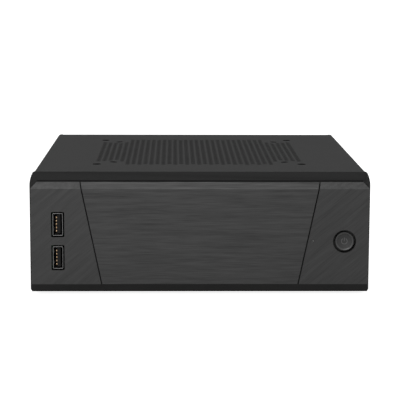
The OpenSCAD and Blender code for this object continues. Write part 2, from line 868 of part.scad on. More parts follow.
module audio_jacks() {
    color("#222223") difference() {
        port_block(audio, 20, 0, audio[2]);
        for (i = [0 : 2]) rod_y(audio[0], board_top + 6 + i * 11.5, port_face - 14, port_face + 1, 3.6);
    }
}

module dc_jack() {
    color("#1b1b1c") difference() {
        union() {
            rod_y(jack_x, jack_z, rear_face, rear_face + 1.4, 10.6);
            rod_y(jack_x, jack_z, rear_face - 9, rear_face, 7.9);
            block(about(jack_x, 8), [rear_face - 15, rear_face - 9], about(jack_z, 8));
        }
        rod_y(jack_x, jack_z, rear_face - 9.5, rear_face + 2, 5.6);
    }
    color("#c3c5c7") rod_y(jack_x, jack_z, rear_face - 10, rear_face + 0.6, 2.4);
}

module dc_jack_nut() {
    color("#c3c5c7") difference() {
        translate([jack_x, rear_face - sheet, jack_z]) rotate([90, 0, 0]) cylinder(h = 2, d = 11, $fn = 6);
        rod_y(jack_x, jack_z, rear_face - 4, rear_face, 8.1);
    }
}

// ---- Drive ----

module drive_tray() {
    color("#9a9d9f") difference() {
        union() {
            block([-52, 52], [wall_back, -16], [tray_z, tray_z + sheet]);
            block([-20, 20], [wall_front - 0.6, wall_back], [tray_z, tray_z + sheet]);
            for (side = [0, 1]) mirror([side, 0, 0]) {
                block([51, leg_x + sheet], leg_y, from(tray_z, sheet));
                block([leg_x, leg_x + sheet], leg_y, [floor_top, tray_z + sheet]);
                block([leg_x, leg_x + 7.4], leg_y, [floor_top, floor_top + sheet]);
            }
        }
        for (sx = [-0.5, 0.5], sy = [-0.5, 0.5])
            rod_z(sx * drive_holes[0], drive_y + sy * drive_holes[1], tray_z - 1, tray_z + 2, 3.4);
        for (side = [-1, 1]) rod_z(side * leg_screw[0], leg_screw[1], floor_top - 1, floor_top + 2, 3.4);
        block([-30, 30], [-70, -30], [tray_z - 1, tray_z + 2]);
    }
}

module tray_screws() {
    color("#9fa2a4") for (side = [-1, 1])
        translate([side * leg_screw[0], leg_screw[1], floor_top + sheet]) screw(3, 5.4, 2, 1.9);
}

module solid_state_drive() {
    z = tray_z + sheet;
    color("#2b2d30") difference() {
        block([-drive[0] / 2, drive[0] / 2], about(drive_y, drive[1]), [z, z + drive[2]]);
        for (sx = [-0.5, 0.5], sy = [-0.5, 0.5])
            rod_z(sx * drive_holes[0], drive_y + sy * drive_holes[1], z - 1, z + 3.5, 3);
        block([drive[0] / 2 - 6, drive[0] / 2 + 1], [-79.5, -45.5], [z + 1.4, z + 5.6]);
    }
}

module drive_screws() {
    color("#9fa2a4") for (sx = [-0.5, 0.5], sy = [-0.5, 0.5])
        translate([sx * drive_holes[0], drive_y + sy * drive_holes[1], tray_z]) rotate([180, 0, 0])
            screw(2.8, 5, 1.6, 4);
}

// ---- Leads ----

function unit(v) = v / norm(v);

// Tangent of a route at point i
function heading(p, i) = unit(p[min(i + 1, len(p) - 1)] - p[max(i - 1, 0)]);

// A direction square to t
function side_of(t) = unit(cross(t, abs(t[2]) < 0.8 ? [0, 0, 1] : [1, 0, 0]));

// Closed tube of diameter d and n sides along the points p
module tube(p, d, n) {
    last = len(p) - 1;
    points = [
        for (i = [0 : last]) let (t = heading(p, i), a = side_of(t), b = cross(t, a))
            for (k = [0 : n - 1]) p[i] + d / 2 * (cos(360 * k / n) * a + sin(360 * k / n) * b)
    ];
    faces = concat(
        [[for (k = [0 : n - 1]) k]],
        [for (i = [0 : last - 1], k = [0 : n - 1])
            [i * n + k, (i + 1) * n + k, (i + 1) * n + (k + 1) % n, i * n + (k + 1) % n]],
        [[for (k = [n - 1 : -1 : 0]) last * n + k]]
    );
    polyhedron(points, faces);
}

// Smooth curve through hand-set points, s steps between neighbours
function smooth(p, s) = [
    for (i = [0 : len(p) - 2], k = [0 : i == len(p) - 2 ? s : s - 1])
        let (t = k / s, a = p[max(i - 1, 0)], b = p[i], c = p[i + 1], d = p[min(i + 2, len(p) - 1)])
            0.5 * (2 * b + (c - a) * t + (2 * a - 5 * b + 4 * c - d) * t * t
                + (3 * b - a - 3 * c + d) * t * t * t)
];

module leads() {
    color("#1e1f20") {
        tube(smooth(usb_route, 4), 5, 8);
        tube(smooth(panel_route, 4), 3, 8);
        tube(smooth(dc_route, 4), 3.6, 8);
        tube(smooth(sata_route, 4), 4, 8);
        tube(smooth(power_route, 4), 4, 8);
        block([-72, -48], from(header_y + 0.3, 6.4), [board_top + 8, 23.2]);
        block([47, 61], from(header_y + 0.3, 4.4), [board_top + 6, 19.2]);
        block([88, 94], [panel_board_y + 1.6, -75.9], [28.5, 34.5]);
        block(from(sata_x[0] + 0.4, 5.2), [-60.5, -43.5], [board_top + 8.4, 30.1]);
        block([drive[0] / 2 - 5, 62.1], [-56.5, -46.5], from(tray_z + sheet + 1.6, 3.8));
        block([drive[0] / 2 - 5, 62.1], [-79, -58], from(tray_z + sheet + 1.6, 3.8));
    }
}

top_cover();
vent_grille();
base_pan();
chassis_front();
rear_panel();
io_shield();
chassis_rivets();
cover_screws();
rubber_feet();
front_bezel();
centre_panel();
left_wing_panel();
right_wing_panel();
power_button();
switch_plunger();
button_spring();
power_switch();
panel_board();
panel_screws();
power_led();
light_pipe();
front_usb_shells();
front_usb_insulators();
front_usb_contacts();
front_usb_board();
front_usb_screws();
motherboard();
standoffs();
motherboard_screws();
cpu_socket();
cpu();
heatsink();
push_pins();
fan_frame();
fan_stator();
fan_rotor();
fan_screws();
memory_sockets();
memory_modules();
chipset_heatsink();
expansion_slot();
chokes();
capacitors();
coin_cell();
power_header();
dc_converter();
sata_ports();
pin_headers();
audio_jacks();
lan_usb_stack();
rear_usb_stacks();
video_ports();
dc_jack();
dc_jack_nut();
drive_tray();
tray_screws();
solid_state_drive();
drive_screws();
leads();
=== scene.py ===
# %% [markdown]
# # A low mini PC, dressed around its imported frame
# The object is a 200 mm square computer in a folded steel case with a brushed front.
# The frame brings every solid of the design, at its place and in metres.
# Each step below either gives a solid its finish or builds a finer piece that stands for it.

# %% Load the frame
import json
import math

import bmesh
import bpy
from mathutils import Matrix, Vector


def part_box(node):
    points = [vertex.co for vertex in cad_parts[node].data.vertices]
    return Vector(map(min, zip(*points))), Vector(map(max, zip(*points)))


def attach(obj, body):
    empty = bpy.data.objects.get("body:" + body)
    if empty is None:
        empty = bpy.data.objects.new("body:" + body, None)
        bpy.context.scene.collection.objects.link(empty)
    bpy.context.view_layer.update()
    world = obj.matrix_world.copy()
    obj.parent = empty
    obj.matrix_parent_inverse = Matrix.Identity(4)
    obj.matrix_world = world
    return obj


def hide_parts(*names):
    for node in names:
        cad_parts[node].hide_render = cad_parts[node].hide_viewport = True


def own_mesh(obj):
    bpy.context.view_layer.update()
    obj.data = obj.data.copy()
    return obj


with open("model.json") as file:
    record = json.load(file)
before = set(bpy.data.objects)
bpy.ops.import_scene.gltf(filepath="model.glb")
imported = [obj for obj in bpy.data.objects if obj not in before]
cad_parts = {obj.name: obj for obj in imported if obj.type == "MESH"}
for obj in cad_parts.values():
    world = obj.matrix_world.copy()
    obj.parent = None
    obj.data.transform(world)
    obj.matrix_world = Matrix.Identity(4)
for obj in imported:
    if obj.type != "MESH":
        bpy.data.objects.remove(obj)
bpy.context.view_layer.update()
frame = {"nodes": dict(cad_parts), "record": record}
print("solids in the frame:", len(frame["nodes"]))

# %% [markdown]
# ## Camera
# A product picture of such a case is taken from about a metre, a little above the lid, with
# a long lens, so the front stays square and the top shows as a narrow band. A long lens far
# away is used instead of a wide one close by because it keeps the sides from flaring.

# %% Camera
MM = 0.001
CAMERA_AT = (-15.4, -964.6, 193.0)
CAMERA_LENS = 134.82
YAW, PITCH, ROLL = 1.010, 8.942, 0.190


def rotated(degrees, axis, size=4):
    return Matrix.Rotation(math.radians(degrees), size, axis)


camera = bpy.data.objects.new("camera", bpy.data.cameras.new("camera"))
camera.data.lens = CAMERA_LENS
camera.data.clip_start, camera.data.clip_end = 0.05, 60
aim = rotated(-YAW, "Z") @ rotated(90 - PITCH, "X") @ rotated(ROLL, "Z")
camera.matrix_world = Matrix.Translation(Vector(CAMERA_AT) * MM) @ aim
bpy.context.scene.collection.objects.link(camera)
bpy.context.scene.camera = camera
bpy.context.scene.view_settings.view_transform = "Standard"

# %% [markdown]
# ## Light
# A studio tent lights a dark object from all sides. A dim even surround does that here, one
# wide lamp above and one in front of it give the sheet metal its soft gradients.

# %% Light
SURROUND = 0.5


def area_lamp(name, place, target, size, watts):
    lamp = bpy.data.objects.new(name, bpy.data.lights.new(name, "AREA"))
    lamp.data.shape = "DISK"
    lamp.data.size = size
    lamp.data.energy = watts
    lamp.location = place
    direction = Vector(target) - Vector(place)
    lamp.rotation_euler = direction.to_track_quat("-Z", "Y").to_euler()
    bpy.context.scene.collection.objects.link(lamp)


world = bpy.data.worlds.new("studio")
world.use_nodes = True
world.node_tree.nodes["Background"].inputs["Color"].default_value = (1, 1, 1, 1)
world.node_tree.nodes["Background"].inputs["Strength"].default_value = SURROUND
bpy.context.scene.world = world

area_lamp("lamp_above", (-0.4, -0.3, 1.8), (0, 0, 0.05), 1.8, 8.5)
area_lamp("lamp_front", (-0.3, -2.0, 0.5), (0, 0, 0.03), 1.2, 6)

# %% [markdown]
# ## How the finishes are made
# Real surfaces are never one colour: paint has grain, brushed metal has streaks, plastic has
# a spark texture. Each finish here is noise in the object's own coordinates, which drives the
# colour between a dark and a light tone, the roughness between two values, and a small bump.
# Object coordinates are used because they need no unwrapping and stay the same in any view.


# %% A finish under construction
class Finish:
    """A material being made: its shader, its nodes, and where a point is on the object."""

    def __init__(self, name, metallic=0.0, specular=0.5, **sockets):
        self.material = bpy.data.materials.new(name)
        self.material.use_nodes = True
        self.tree = self.material.node_tree
        self.shader = self.tree.nodes["Principled BSDF"]
        self.shader.inputs["Metallic"].default_value = metallic
        self.shader.inputs["Specular IOR Level"].default_value = specular
        for socket, value in sockets.items():
            self.shader.inputs[socket.replace("_", " ")].default_value = value
        self.place = self.node("ShaderNodeTexCoord").outputs["Object"]

    def node(self, kind, **inputs):
        made = self.tree.nodes.new(kind)
        for name, value in inputs.items():
            self.feed(value, made.inputs[name])
        return made

    def feed(self, value, socket):
        if isinstance(value, bpy.types.NodeSocket):
            self.tree.links.new(value, socket)
        else:
            socket.default_value = value

    def noise(self, size, detail=3.0, stretch=(1, 1, 1), turn=(0, 0, 0)):
        """Cloudy noise whose blotches are about size mm, stretched along the turned axes."""
        turned = self.node("ShaderNodeMapping", Vector=self.place)
        turned.inputs["Rotation"].default_value = [math.radians(a) for a in turn]
        pulled = self.node("ShaderNodeMapping", Vector=turned.outputs["Vector"])
        pulled.inputs["Scale"].default_value = [1 / (s * size * MM) for s in stretch]
        clouds = self.node("ShaderNodeTexNoise", Vector=pulled.outputs["Vector"])
        clouds.inputs["Scale"].default_value = 1.0
        clouds.inputs["Detail"].default_value = detail
        return clouds.outputs["Fac"]

    def spread(self, factor, low, high, start=0.3, stop=0.7):
        """Runs from low to high as factor runs from start to stop."""
        ranged = self.node("ShaderNodeMapRange", Value=factor)
        for name, value in (("From Min", start), ("From Max", stop), ("To Min", low), ("To Max", high)):
            ranged.inputs[name].default_value = value
        return ranged.outputs["Result"]

    def blend(self, factor, dark, light):
        mixed = self.node("ShaderNodeMix")
        mixed.data_type = "RGBA"
        self.feed(factor, mixed.inputs["Factor"])
        colours = [s for s in mixed.inputs if s.type == "RGBA"]
        self.feed(dark, colours[0])
        self.feed(light, colours[1])
        return [s for s in mixed.outputs if s.type == "RGBA"][0]

    def together(self, first, second, share=0.5):
        """Two factors mixed, with share of the second."""
        mixed = self.node("ShaderNodeMix")
        mixed.inputs["Factor"].default_value = share
        self.feed(first, mixed.inputs["A"])
        self.feed(second, mixed.inputs["B"])
        return mixed.outputs["Result"]

    def paint(self, colour, roughness, height=None, depth=0.0):
        self.feed(colour, self.shader.inputs["Base Color"])
        self.feed(roughness, self.shader.inputs["Roughness"])
        if height is not None:
            bump = self.node("ShaderNodeBump", Height=height)
            bump.inputs["Distance"].default_value = depth * MM
            self.feed(bump.outputs["Normal"], self.shader.inputs["Normal"])
        return self.material


def grey(value, warm=0.0):
    return (value * (1 + warm), value, value * (1 - warm), 1.0)


def plain_finish(name, dark, light, rough, grain, depth, metallic=0.0, specular=0.5, stretch=(1, 1, 1)):
    """The common recipe: fine grain over slow clouds, between two tones and two roughnesses."""
    made = Finish(name, metallic, specular)
    fine = made.noise(grain, stretch=stretch)
    both = made.together(fine, made.noise(grain * 40, detail=2.0), 0.4)
    colour = made.blend(made.spread(both, 0, 1), dark, light)
    return made.paint(colour, made.spread(both, *rough), fine, depth)


# %% [markdown]
# ## Floor
# The floor of such a tent is a pale seamless sheet, lit from below until it turns white. One
# huge plane does it. It glows for the camera alone, so the object is lit by the lamps only,
# and a touch of shade stays where the feet stand.

# %% Floor
FLOOR_HALF = 30.0
FLOOR_GLOW = 0.9

paper = Finish("pale_paper", specular=0.1)
seen = paper.node("ShaderNodeLightPath").outputs["Is Camera Ray"]
paper.shader.inputs["Emission Color"].default_value = grey(1.0)
paper.feed(paper.spread(seen, 0.0, FLOOR_GLOW, 0.0, 1.0), paper.shader.inputs["Emission Strength"])
fibre = paper.noise(40)
paper_tone = paper.blend(paper.spread(fibre, 0, 1), grey(0.58), grey(0.62))

bm = bmesh.new()
bmesh.ops.create_grid(bm, x_segments=1, y_segments=1, size=FLOOR_HALF)
floor = bpy.data.objects.new("floor", bpy.data.meshes.new("floor"))
bm.to_mesh(floor.data)
bm.free()
floor.data.materials.append(paper.paint(paper_tone, 0.9))
bpy.context.scene.collection.objects.link(floor)

# %% [markdown]
# ## Sheet metal, screws, rubber and plastic
# The cover is powder coated: a matt dark grey with a fine orange-peel grain. The inner walls are
# galvanised, the sockets tin plated, and the mouldings carry a spark-eroded texture. The
# same recipe serves them all, with other tones and grain sizes.

# %% Common finishes
# For each slot: name, dark and light tone, roughnesses, grain and bump in mm, what else differs.
SHINY = {"metallic": 1.0}
COMMON = {
    "cover_steel": ("powder_coat", 0.054, 0.066, (0.75, 0.9), 0.5, 0.02, {"specular": 0.04}),
    "black_screw": ("black_zinc", 0.018, 0.034, (0.3, 0.5), 0.6, 0.01, {"metallic": 0.7}),
    "rubber_black": ("foot_rubber", 0.014, 0.024, (0.8, 0.95), 0.4, 0.04, {"specular": 0.3}),
    "bezel_plastic": ("bezel_moulding", 0.020, 0.027, (0.55, 0.7), 0.3, 0.02, {"specular": 0.2}),
    "button_plastic": ("button_moulding", 0.030, 0.040, (0.46, 0.58), 0.3, 0.006, {"specular": 0.55}),
    "white_plastic": ("ivory_nylon", grey(0.62, 0.03), grey(0.74, 0.04), (0.4, 0.55), 0.8, 0.02, {}),
    "black_plastic": ("black_nylon", 0.010, 0.018, (0.5, 0.7), 0.5, 0.02, {"specular": 0.2}),
    "spring_steel": ("bright_wire", 0.5, 0.62, (0.2, 0.35), 0.4, 0.01, SHINY),
    "gold_contact": (
        "gold_plate", (0.55, 0.36, 0.2, 1), (0.78, 0.58, 0.38, 1), (0.2, 0.35), 0.5, 0.005, SHINY
    ),
    "brass": ("turned_brass", (0.5, 0.36, 0.14, 1), (0.68, 0.5, 0.22, 1), (0.25, 0.4), 0.5, 0.01, SHINY),
    "ferrite": ("sintered_ferrite", 0.07, 0.13, (0.6, 0.8), 0.7, 0.05, {}),
    "drive_case": ("anodised_lid", 0.03, 0.05, (0.35, 0.5), 0.5, 0.01, {"metallic": 0.8}),
    "cable_jacket": ("soft_sheath", 0.016, 0.028, (0.5, 0.7), 0.6, 0.02, {}),
    "heatsink_aluminium": (
        "extruded_aluminium", 0.48, 0.62, (0.3, 0.45), 0.5, 0.01, {**SHINY, "stretch": (1, 1, 12)}
    ),
    "shield_steel": ("tin_plate", 0.5, 0.66, (0.24, 0.38), 0.7, 0.01, {**SHINY, "stretch": (9, 1, 1)}),
    "zinc_steel": ("galvanised_sheet", 0.36, 0.52, (0.35, 0.5), 1.6, 0.01, SHINY),
    "copper_winding": (
        "enamelled_copper", (0.36, 0.15, 0.06, 1), (0.55, 0.27, 0.12, 1), (0.25, 0.4), 0.35, 0.06,
        {**SHINY, "stretch": (14, 14, 1)},
    ),
    # painted shade: a near-black coat without specular for the walls of the cover's mount holes, which stand
    # in shade
    "hole_wall_shade": ("painted_hole_shade", 0.001, 0.003, (0.9, 1.0), 0.3, 0.02, {"specular": 0.0}),
    "dull_tin": ("dull_tin", 0.26, 0.40, (0.3, 0.45), 0.6, 0.01, SHINY),
    # painted highlight: a lighter metallic ring for the button's dish wall, for the light the rim catches;
    # the metal also reflects for real
    "painted_rim_highlight": ("painted_rim_highlight", 0.11, 0.15, (0.3, 0.4), 0.3, 0.005, {"metallic": 0.9}),
    "sign_print": ("sign_print", 0.12, 0.14, (0.5, 0.6), 0.2, 0.005, {}),
}
finishes = {}
for slot, (name, *tones, rough, grain, depth, more) in COMMON.items():
    dark, light = (tone if isinstance(tone, tuple) else grey(tone) for tone in tones)
    finishes[slot] = plain_finish(name, dark, light, rough, grain, depth, **more)
for name, tone in (
    ("blue_tongue", (0.02, 0.10, 0.42)), ("blue_ring", (0.05, 0.2, 0.5)), ("lime_ring", (0.14, 0.42, 0.06)),
    ("pink_ring", (0.62, 0.16, 0.24)), ("lime_lens", (0.2, 0.5, 0.12)), ("amber_lens", (0.7, 0.35, 0.04)),
):
    darker = tuple(0.8 * channel for channel in tone)
    finishes[name] = plain_finish(name, (*darker, 1), (*tone, 1), (0.3, 0.45), 0.5, 0.01)
print("common finishes:", len(finishes))


# %% [markdown]
# ## Circuit boards
# A board is glass fibre under a coloured mask, with copper tracks that show as paler lines.
# A brick pattern of long narrow cells gives lines that read as tracks between the parts.

# %% Board finishes
def board_finish(name, mask, track):
    made = Finish(name, specular=0.5)
    tracks = made.node("ShaderNodeTexBrick", Vector=made.place)
    sizes = {"Scale": 1 / MM, "Brick Width": 9.0, "Row Height": 1.1, "Mortar Size": 0.16}
    for socket, value in sizes.items():
        tracks.inputs[socket].default_value = value
    fibres = made.noise(0.5)
    colour = made.blend(tracks.outputs["Fac"], mask, track)
    colour = made.blend(made.spread(fibres, 0.0, 0.35), colour, (0.01, 0.03, 0.02, 1))
    return made.paint(colour, made.spread(fibres, 0.3, 0.5), tracks.outputs["Fac"], 0.03)


finishes["board_green"] = board_finish("green_mask", (0.02, 0.13, 0.05, 1), (0.05, 0.22, 0.09, 1))
finishes["board_dark"] = board_finish("dark_mask", (0.012, 0.035, 0.026, 1), (0.03, 0.08, 0.055, 1))


# %% Clear plastic
def clear_finish():
    made = Finish("clear_pipe", Transmission_Weight=0.7, IOR=1.49)
    haze = made.noise(0.6)
    colour = made.blend(made.spread(haze, 0, 1), grey(0.7), grey(0.85))
    return made.paint(colour, made.spread(haze, 0.15, 0.35), haze, 0.01)


finishes["clear_plastic"] = clear_finish()


# %% [markdown]
# ## Brushed panels
# The three front panels are brushed before they are painted with a thin dark coat, so long
# fine streaks stay visible: level on the middle panel, slanted on the two wings. Noise pulled
# out to forty times its width makes the streaks. Two widths are mixed, because one alone
# looks like corduroy.

# %% Brushed finishes
def brushed_finish(name, slant, dark, light):
    made = Finish(name, metallic=0.6, specular=0.3)
    hair = made.noise(0.28, detail=2.0, stretch=(45, 1, 1), turn=(0, slant, 0))
    band = made.noise(1.6, detail=2.0, stretch=(18, 1, 1), turn=(0, slant, 0))
    streaks = made.together(hair, band, 0.45)
    colour = made.blend(made.spread(streaks, 0, 1, 0.32, 0.68), grey(dark), grey(light))
    return made.paint(colour, made.spread(streaks, 0.5, 0.32), hair, 0.012)


SLANT = 40
finishes["brushed_panel"] = brushed_finish("brushed_level", 0, 0.055, 0.096)
# The wing copies differ in tone: the right wing is painted a little darker than the left, as painted shade
# where the light falls off to the right
brushed_right_shaded = brushed_finish("brushed_right_wing_shaded", SLANT, 0.058, 0.086)
brushed_left = brushed_finish("brushed_left_wing", SLANT, 0.062, 0.088)

# %% [markdown]
# ## Finishes on the solids
# Every solid of the frame names its material slot in the record, so a loop hands each one
# its finish. Pieces made later replace some of them and take the same finishes.

# %% Hand out the finishes
slot_of = {part["node"]: part["material_slot"] for part in frame["record"]["subparts"]}
body_of = {node: body for body, nodes in frame["record"]["behaviour"]["bodies"].items() for node in nodes}
for node, solid in frame["nodes"].items():
    solid.data.materials.clear()
    solid.data.materials.append(finishes[slot_of[node]])
print("solids with a finish:", len(slot_of))


# %% [markdown]
# ## From a mesh in millimetres to a piece
# Shapes are easier to read in millimetres. This helper scales a finished bmesh to metres,
# makes the object at the origin, shades it smooth up to its creases, and hands it to its body.

# %% Piece helper
def piece(name, bm, stands_for=(), finish=None, slot=None, crease=35, body=None, others=()):
    """Makes an object from bm, for the solids it replaces or, without any, on a body."""
    bmesh.ops.scale(bm, vec=(MM, MM, MM), verts=bm.verts)
    mesh = bpy.data.meshes.new(name)
    bm.to_mesh(mesh)
    bm.free()
    mesh.shade_smooth()
    mesh.set_sharp_from_angle(angle=math.radians(crease))
    made = bpy.data.objects.new(name, mesh)
    bpy.context.scene.collection.objects.link(made)
    slot = slot or slot_of[stands_for[0]]
    for coat in (finish or finishes[slot], *others):
        mesh.materials.append(coat)
    evened = made.modifiers.new("evened", "WEIGHTED_NORMAL")
    evened.keep_sharp = True
    evened.weight = 90
    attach(made, body or body_of[stands_for[0]])
    if stands_for:
        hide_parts(*stands_for)
    print(name, "faces:", len(mesh.polygons))
    return made


def box_mm(node):
    """Lowest and highest corner of a solid, in millimetres."""
    low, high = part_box(node)
    return low / MM, high / MM


# %% [markdown]
# ## Folded steel cover
# On the real case one sheet is punched flat and then folded over a bar: the lid in the middle,
# a wall at each long side, a short lip at the back. The same order works here. One hexagonal
# cell with a round hole is the unit of the vent, because such cells meet edge to edge
# without gaps. The rest of the lid is filled in around the cells, and the folds are spun.

# %% Picking and pulling
def verts_in(geom):
    return [v for v in geom if isinstance(v, bmesh.types.BMVert)]


def edges_in(geom):
    return [e for e in geom if isinstance(e, bmesh.types.BMEdge)]


def pull(bm, edges, way):
    """Extrudes edges by way, and returns all that this makes."""
    made = bmesh.ops.extrude_edge_only(bm, edges=edges)["geom"]
    bmesh.ops.translate(bm, verts=verts_in(made), vec=way)
    return made


# %% Vent cell and its columns
PITCH = 4.2
HOLE_D = 2.9
HOLE_SIDES = 12
COLUMN_STEP = PITCH * math.cos(math.radians(30))
WIDE_ARM = (65.0, 51.7)
LONG_ARM = (47.0, 67.0)
RIM = 3.0
LARGE_FAN = 124.5
SMALL_FAN = 105.0


def vent_column(rows, shift):
    """A column of cells along Y, as a mesh at x = 0."""
    bm = bmesh.new()
    bmesh.ops.create_circle(bm, cap_ends=False, segments=6, radius=PITCH / math.sqrt(3))
    bmesh.ops.rotate(bm, verts=bm.verts, matrix=rotated(30, "Z", 3))
    bmesh.ops.subdivide_edges(bm, edges=bm.edges, cuts=1)
    bmesh.ops.create_circle(bm, cap_ends=False, segments=HOLE_SIDES, radius=HOLE_D / 2)
    bmesh.ops.bridge_loops(bm, edges=bm.edges)
    cell = bm.faces[:]
    for row in rows:
        copy = bmesh.ops.duplicate(bm, geom=cell)
        bmesh.ops.translate(bm, verts=verts_in(copy["geom"]), vec=(0, (row + shift) * PITCH, 0))
    bmesh.ops.delete(bm, geom=cell, context="FACES")
    column = bpy.data.meshes.new("column")
    bm.to_mesh(column)
    bm.free()
    return column


# %% Perforated field
def lay_vent(bm, z):
    """Cells at height z: whole columns, shorter in the outer arms."""
    reach_x = int((WIDE_ARM[0] - RIM) / COLUMN_STEP)
    holes = 0
    for i in range(-reach_x, reach_x + 1):
        x = i * COLUMN_STEP
        shift = 0.5 * (i % 2)
        reach_y = (WIDE_ARM[1] if abs(x) > LONG_ARM[0] - RIM / 2 else LONG_ARM[1]) - RIM
        if abs(abs(x) - SMALL_FAN / 2) < RIM:
            reach_y -= PITCH
        rows = [j for j in range(-20, 21) if abs(j + shift) * PITCH <= reach_y]
        column = vent_column(rows, shift)
        column.transform(Matrix.Translation((x, 0, z)))
        bm.from_mesh(column)
        bpy.data.meshes.remove(column)
        holes += len(rows)
    bmesh.ops.remove_doubles(bm, verts=bm.verts, dist=0.01)
    return holes


def open_edges(bm, longer_than):
    return [e for e in bm.edges if len(e.link_faces) < 2 and e.calc_length() > longer_than]


# %% Outlines that are punched through a sheet
def outline(bm, corners):
    """A closed loop of edges through a few corners."""
    verts = [bm.verts.new(c) for c in corners]
    return [bm.edges.new(pair) for pair in zip(verts, verts[1:] + verts[:1])]


def round_hole(bm, diameter, place, segments=24):
    made = bmesh.ops.create_circle(bm, cap_ends=False, segments=segments, radius=diameter / 2)
    bmesh.ops.transform(bm, matrix=place, verts=made["verts"])
    return list({e for v in made["verts"] for e in v.link_edges})


def long_hole(bm, length, width, place, segments=16):
    """A round-ended slot along the local X axis: a circle pulled apart."""
    made = bmesh.ops.create_circle(bm, cap_ends=False, segments=segments, radius=width / 2)
    verts = made["verts"]
    bmesh.ops.rotate(bm, verts=verts, matrix=Matrix.Rotation(math.pi / segments, 3, "Z"))
    for side in (-1, 1):
        half = [v for v in verts if v.co.x * side > 0]
        bmesh.ops.translate(bm, verts=half, vec=(side * (length - width) / 2, 0, 0))
    bmesh.ops.transform(bm, matrix=place, verts=verts)
    return list({e for v in verts for e in v.link_edges})


def fill(bm, edges, normal):
    bmesh.ops.triangle_fill(bm, use_beauty=True, edges=edges, normal=normal)


# %% Lid with the fan mount
BEND = 2.0
LIP_BEND = 1.5
LIP_HALF = 93.7
LIP_H = 8.0
RELIEF = 0.5
FAN_HOLE_D = 5.0
FAN_SLOT = (5.0, 3.4)


def lay_lid(bm, low, high):
    """The flat lid: vent cells, fan mount holes, and what is left of the sheet around them."""
    holes = lay_vent(bm, high.z)
    edges = open_edges(bm, 1.0)
    x, front, back, bent = high.x - BEND, low.y, high.y, high.y - LIP_BEND
    relief = LIP_HALF + RELIEF
    notch = bent - RELIEF
    corners = [(-x, front), (x, front), (x, back), (relief, back), (relief, notch), (LIP_HALF, notch)]
    corners += [(LIP_HALF, bent), (-LIP_HALF, bent), (-LIP_HALF, notch), (-relief, notch)]
    corners += [(-relief, back), (-x, back)]
    edges += outline(bm, [(cx, cy, high.z) for cx, cy in corners])
    for quarter in range(4):
        turn = rotated(90 * quarter + 45, "Z")
        raised = Matrix.Translation((0, 0, high.z)) @ turn
        far = LARGE_FAN / math.sqrt(2)
        near = SMALL_FAN / math.sqrt(2)
        edges += round_hole(bm, FAN_HOLE_D, raised @ Matrix.Translation((far, 0, 0)))
        across = Matrix.Translation((near, 0, 0)) @ rotated(90, "Z")
        edges += long_hole(bm, *FAN_SLOT, raised @ across)
    fill(bm, edges, (0, 0, 1))
    return holes


# %% Folds and side walls
SLOT_COUNT = 10
SLOT_PITCH = 7.0
FIRST_SLOT_Y = 10.0
SIDE_SLOT = (28.0, 3.0)


def edges_between(bm, start, end):
    """Edges that run along the line from start to end."""
    line = (end - start).normalized()
    found = []
    for e in bm.edges:
        if all(((v.co - start) - (v.co - start).dot(line) * line).length < 0.01 for v in e.verts):
            if all(-0.01 < (v.co - start).dot(line) < (end - start).length + 0.01 for v in e.verts):
                found.append(e)
    return found


def fold_side(bm, side, low, high):
    """Spins one long edge of the lid over the bend and fills the wall below it."""
    x = side * (high.x - BEND)
    edge = edges_between(bm, Vector((x, low.y, high.z)), Vector((x, high.y, high.z)))
    centre = (x, 0, high.z - BEND)
    angle = math.radians(90 * side)
    spun = bmesh.ops.spin(bm, geom=edge, cent=centre, axis=(0, 1, 0), angle=angle, steps=6)
    wall = pull(bm, edges_in(spun["geom_last"]), (0, 0, -(high.z - BEND - low.z)))
    faces = [f for f in wall if isinstance(f, bmesh.types.BMFace)]
    edges = list({e for f in faces for e in f.edges})
    bmesh.ops.delete(bm, geom=faces, context="FACES_ONLY")
    upright = rotated(90, "Y")
    for i in range(SLOT_COUNT):
        at = Matrix.Translation((side * high.x, FIRST_SLOT_Y + i * SLOT_PITCH, (low.z + high.z) / 2))
        edges += long_hole(bm, *SIDE_SLOT, at @ upright)
    fill(bm, edges, (side, 0, 0))


def fold_lip(bm, high):
    """Spins the rear edge of the lid down into its short lip."""
    y = high.y - LIP_BEND
    edge = edges_between(bm, Vector((-LIP_HALF, y, high.z)), Vector((LIP_HALF, y, high.z)))
    centre = (0, y, high.z - LIP_BEND)
    spun = bmesh.ops.spin(bm, geom=edge, cent=centre, axis=(1, 0, 0), angle=math.radians(-90), steps=5)
    pull(bm, edges_in(spun["geom_last"]), (0, 0, -(LIP_H - LIP_BEND)))


# %% Cover: thickness and broken edges
SHEET = 1.0


def outward(bm, probe):
    """Turns all faces so that the one nearest the probe points along it."""
    bmesh.ops.recalc_face_normals(bm, faces=bm.faces)
    nearest = min(bm.faces, key=lambda f: (f.calc_center_median() - probe).length)
    if nearest.normal.dot(probe) < 0:
        bmesh.ops.reverse_faces(bm, faces=bm.faces)


def break_edges(bm, width, segments=2, angle=30, where=None):
    """Rounds every edge sharper than angle, as tumbling or a mould does."""
    sharp = [
        e for e in bm.edges
        if len(e.link_faces) == 2
        and e.calc_face_angle() > math.radians(angle)
        and (where is None or where(e))
    ]
    bmesh.ops.bevel(
        bm, geom=sharp, offset=width, offset_type="OFFSET", segments=segments, profile=0.5,
        affect="EDGES", clamp_overlap=True, material=-1,
    )
    return len(sharp)


def outside_vent(edge):
    at = (edge.verts[0].co + edge.verts[1].co) / 2
    return abs(at.x) > WIDE_ARM[0] or abs(at.y) > LONG_ARM[1] or (
        abs(at.x) > LONG_ARM[0] and abs(at.y) > WIDE_ARM[1] - RIM / 2
    )


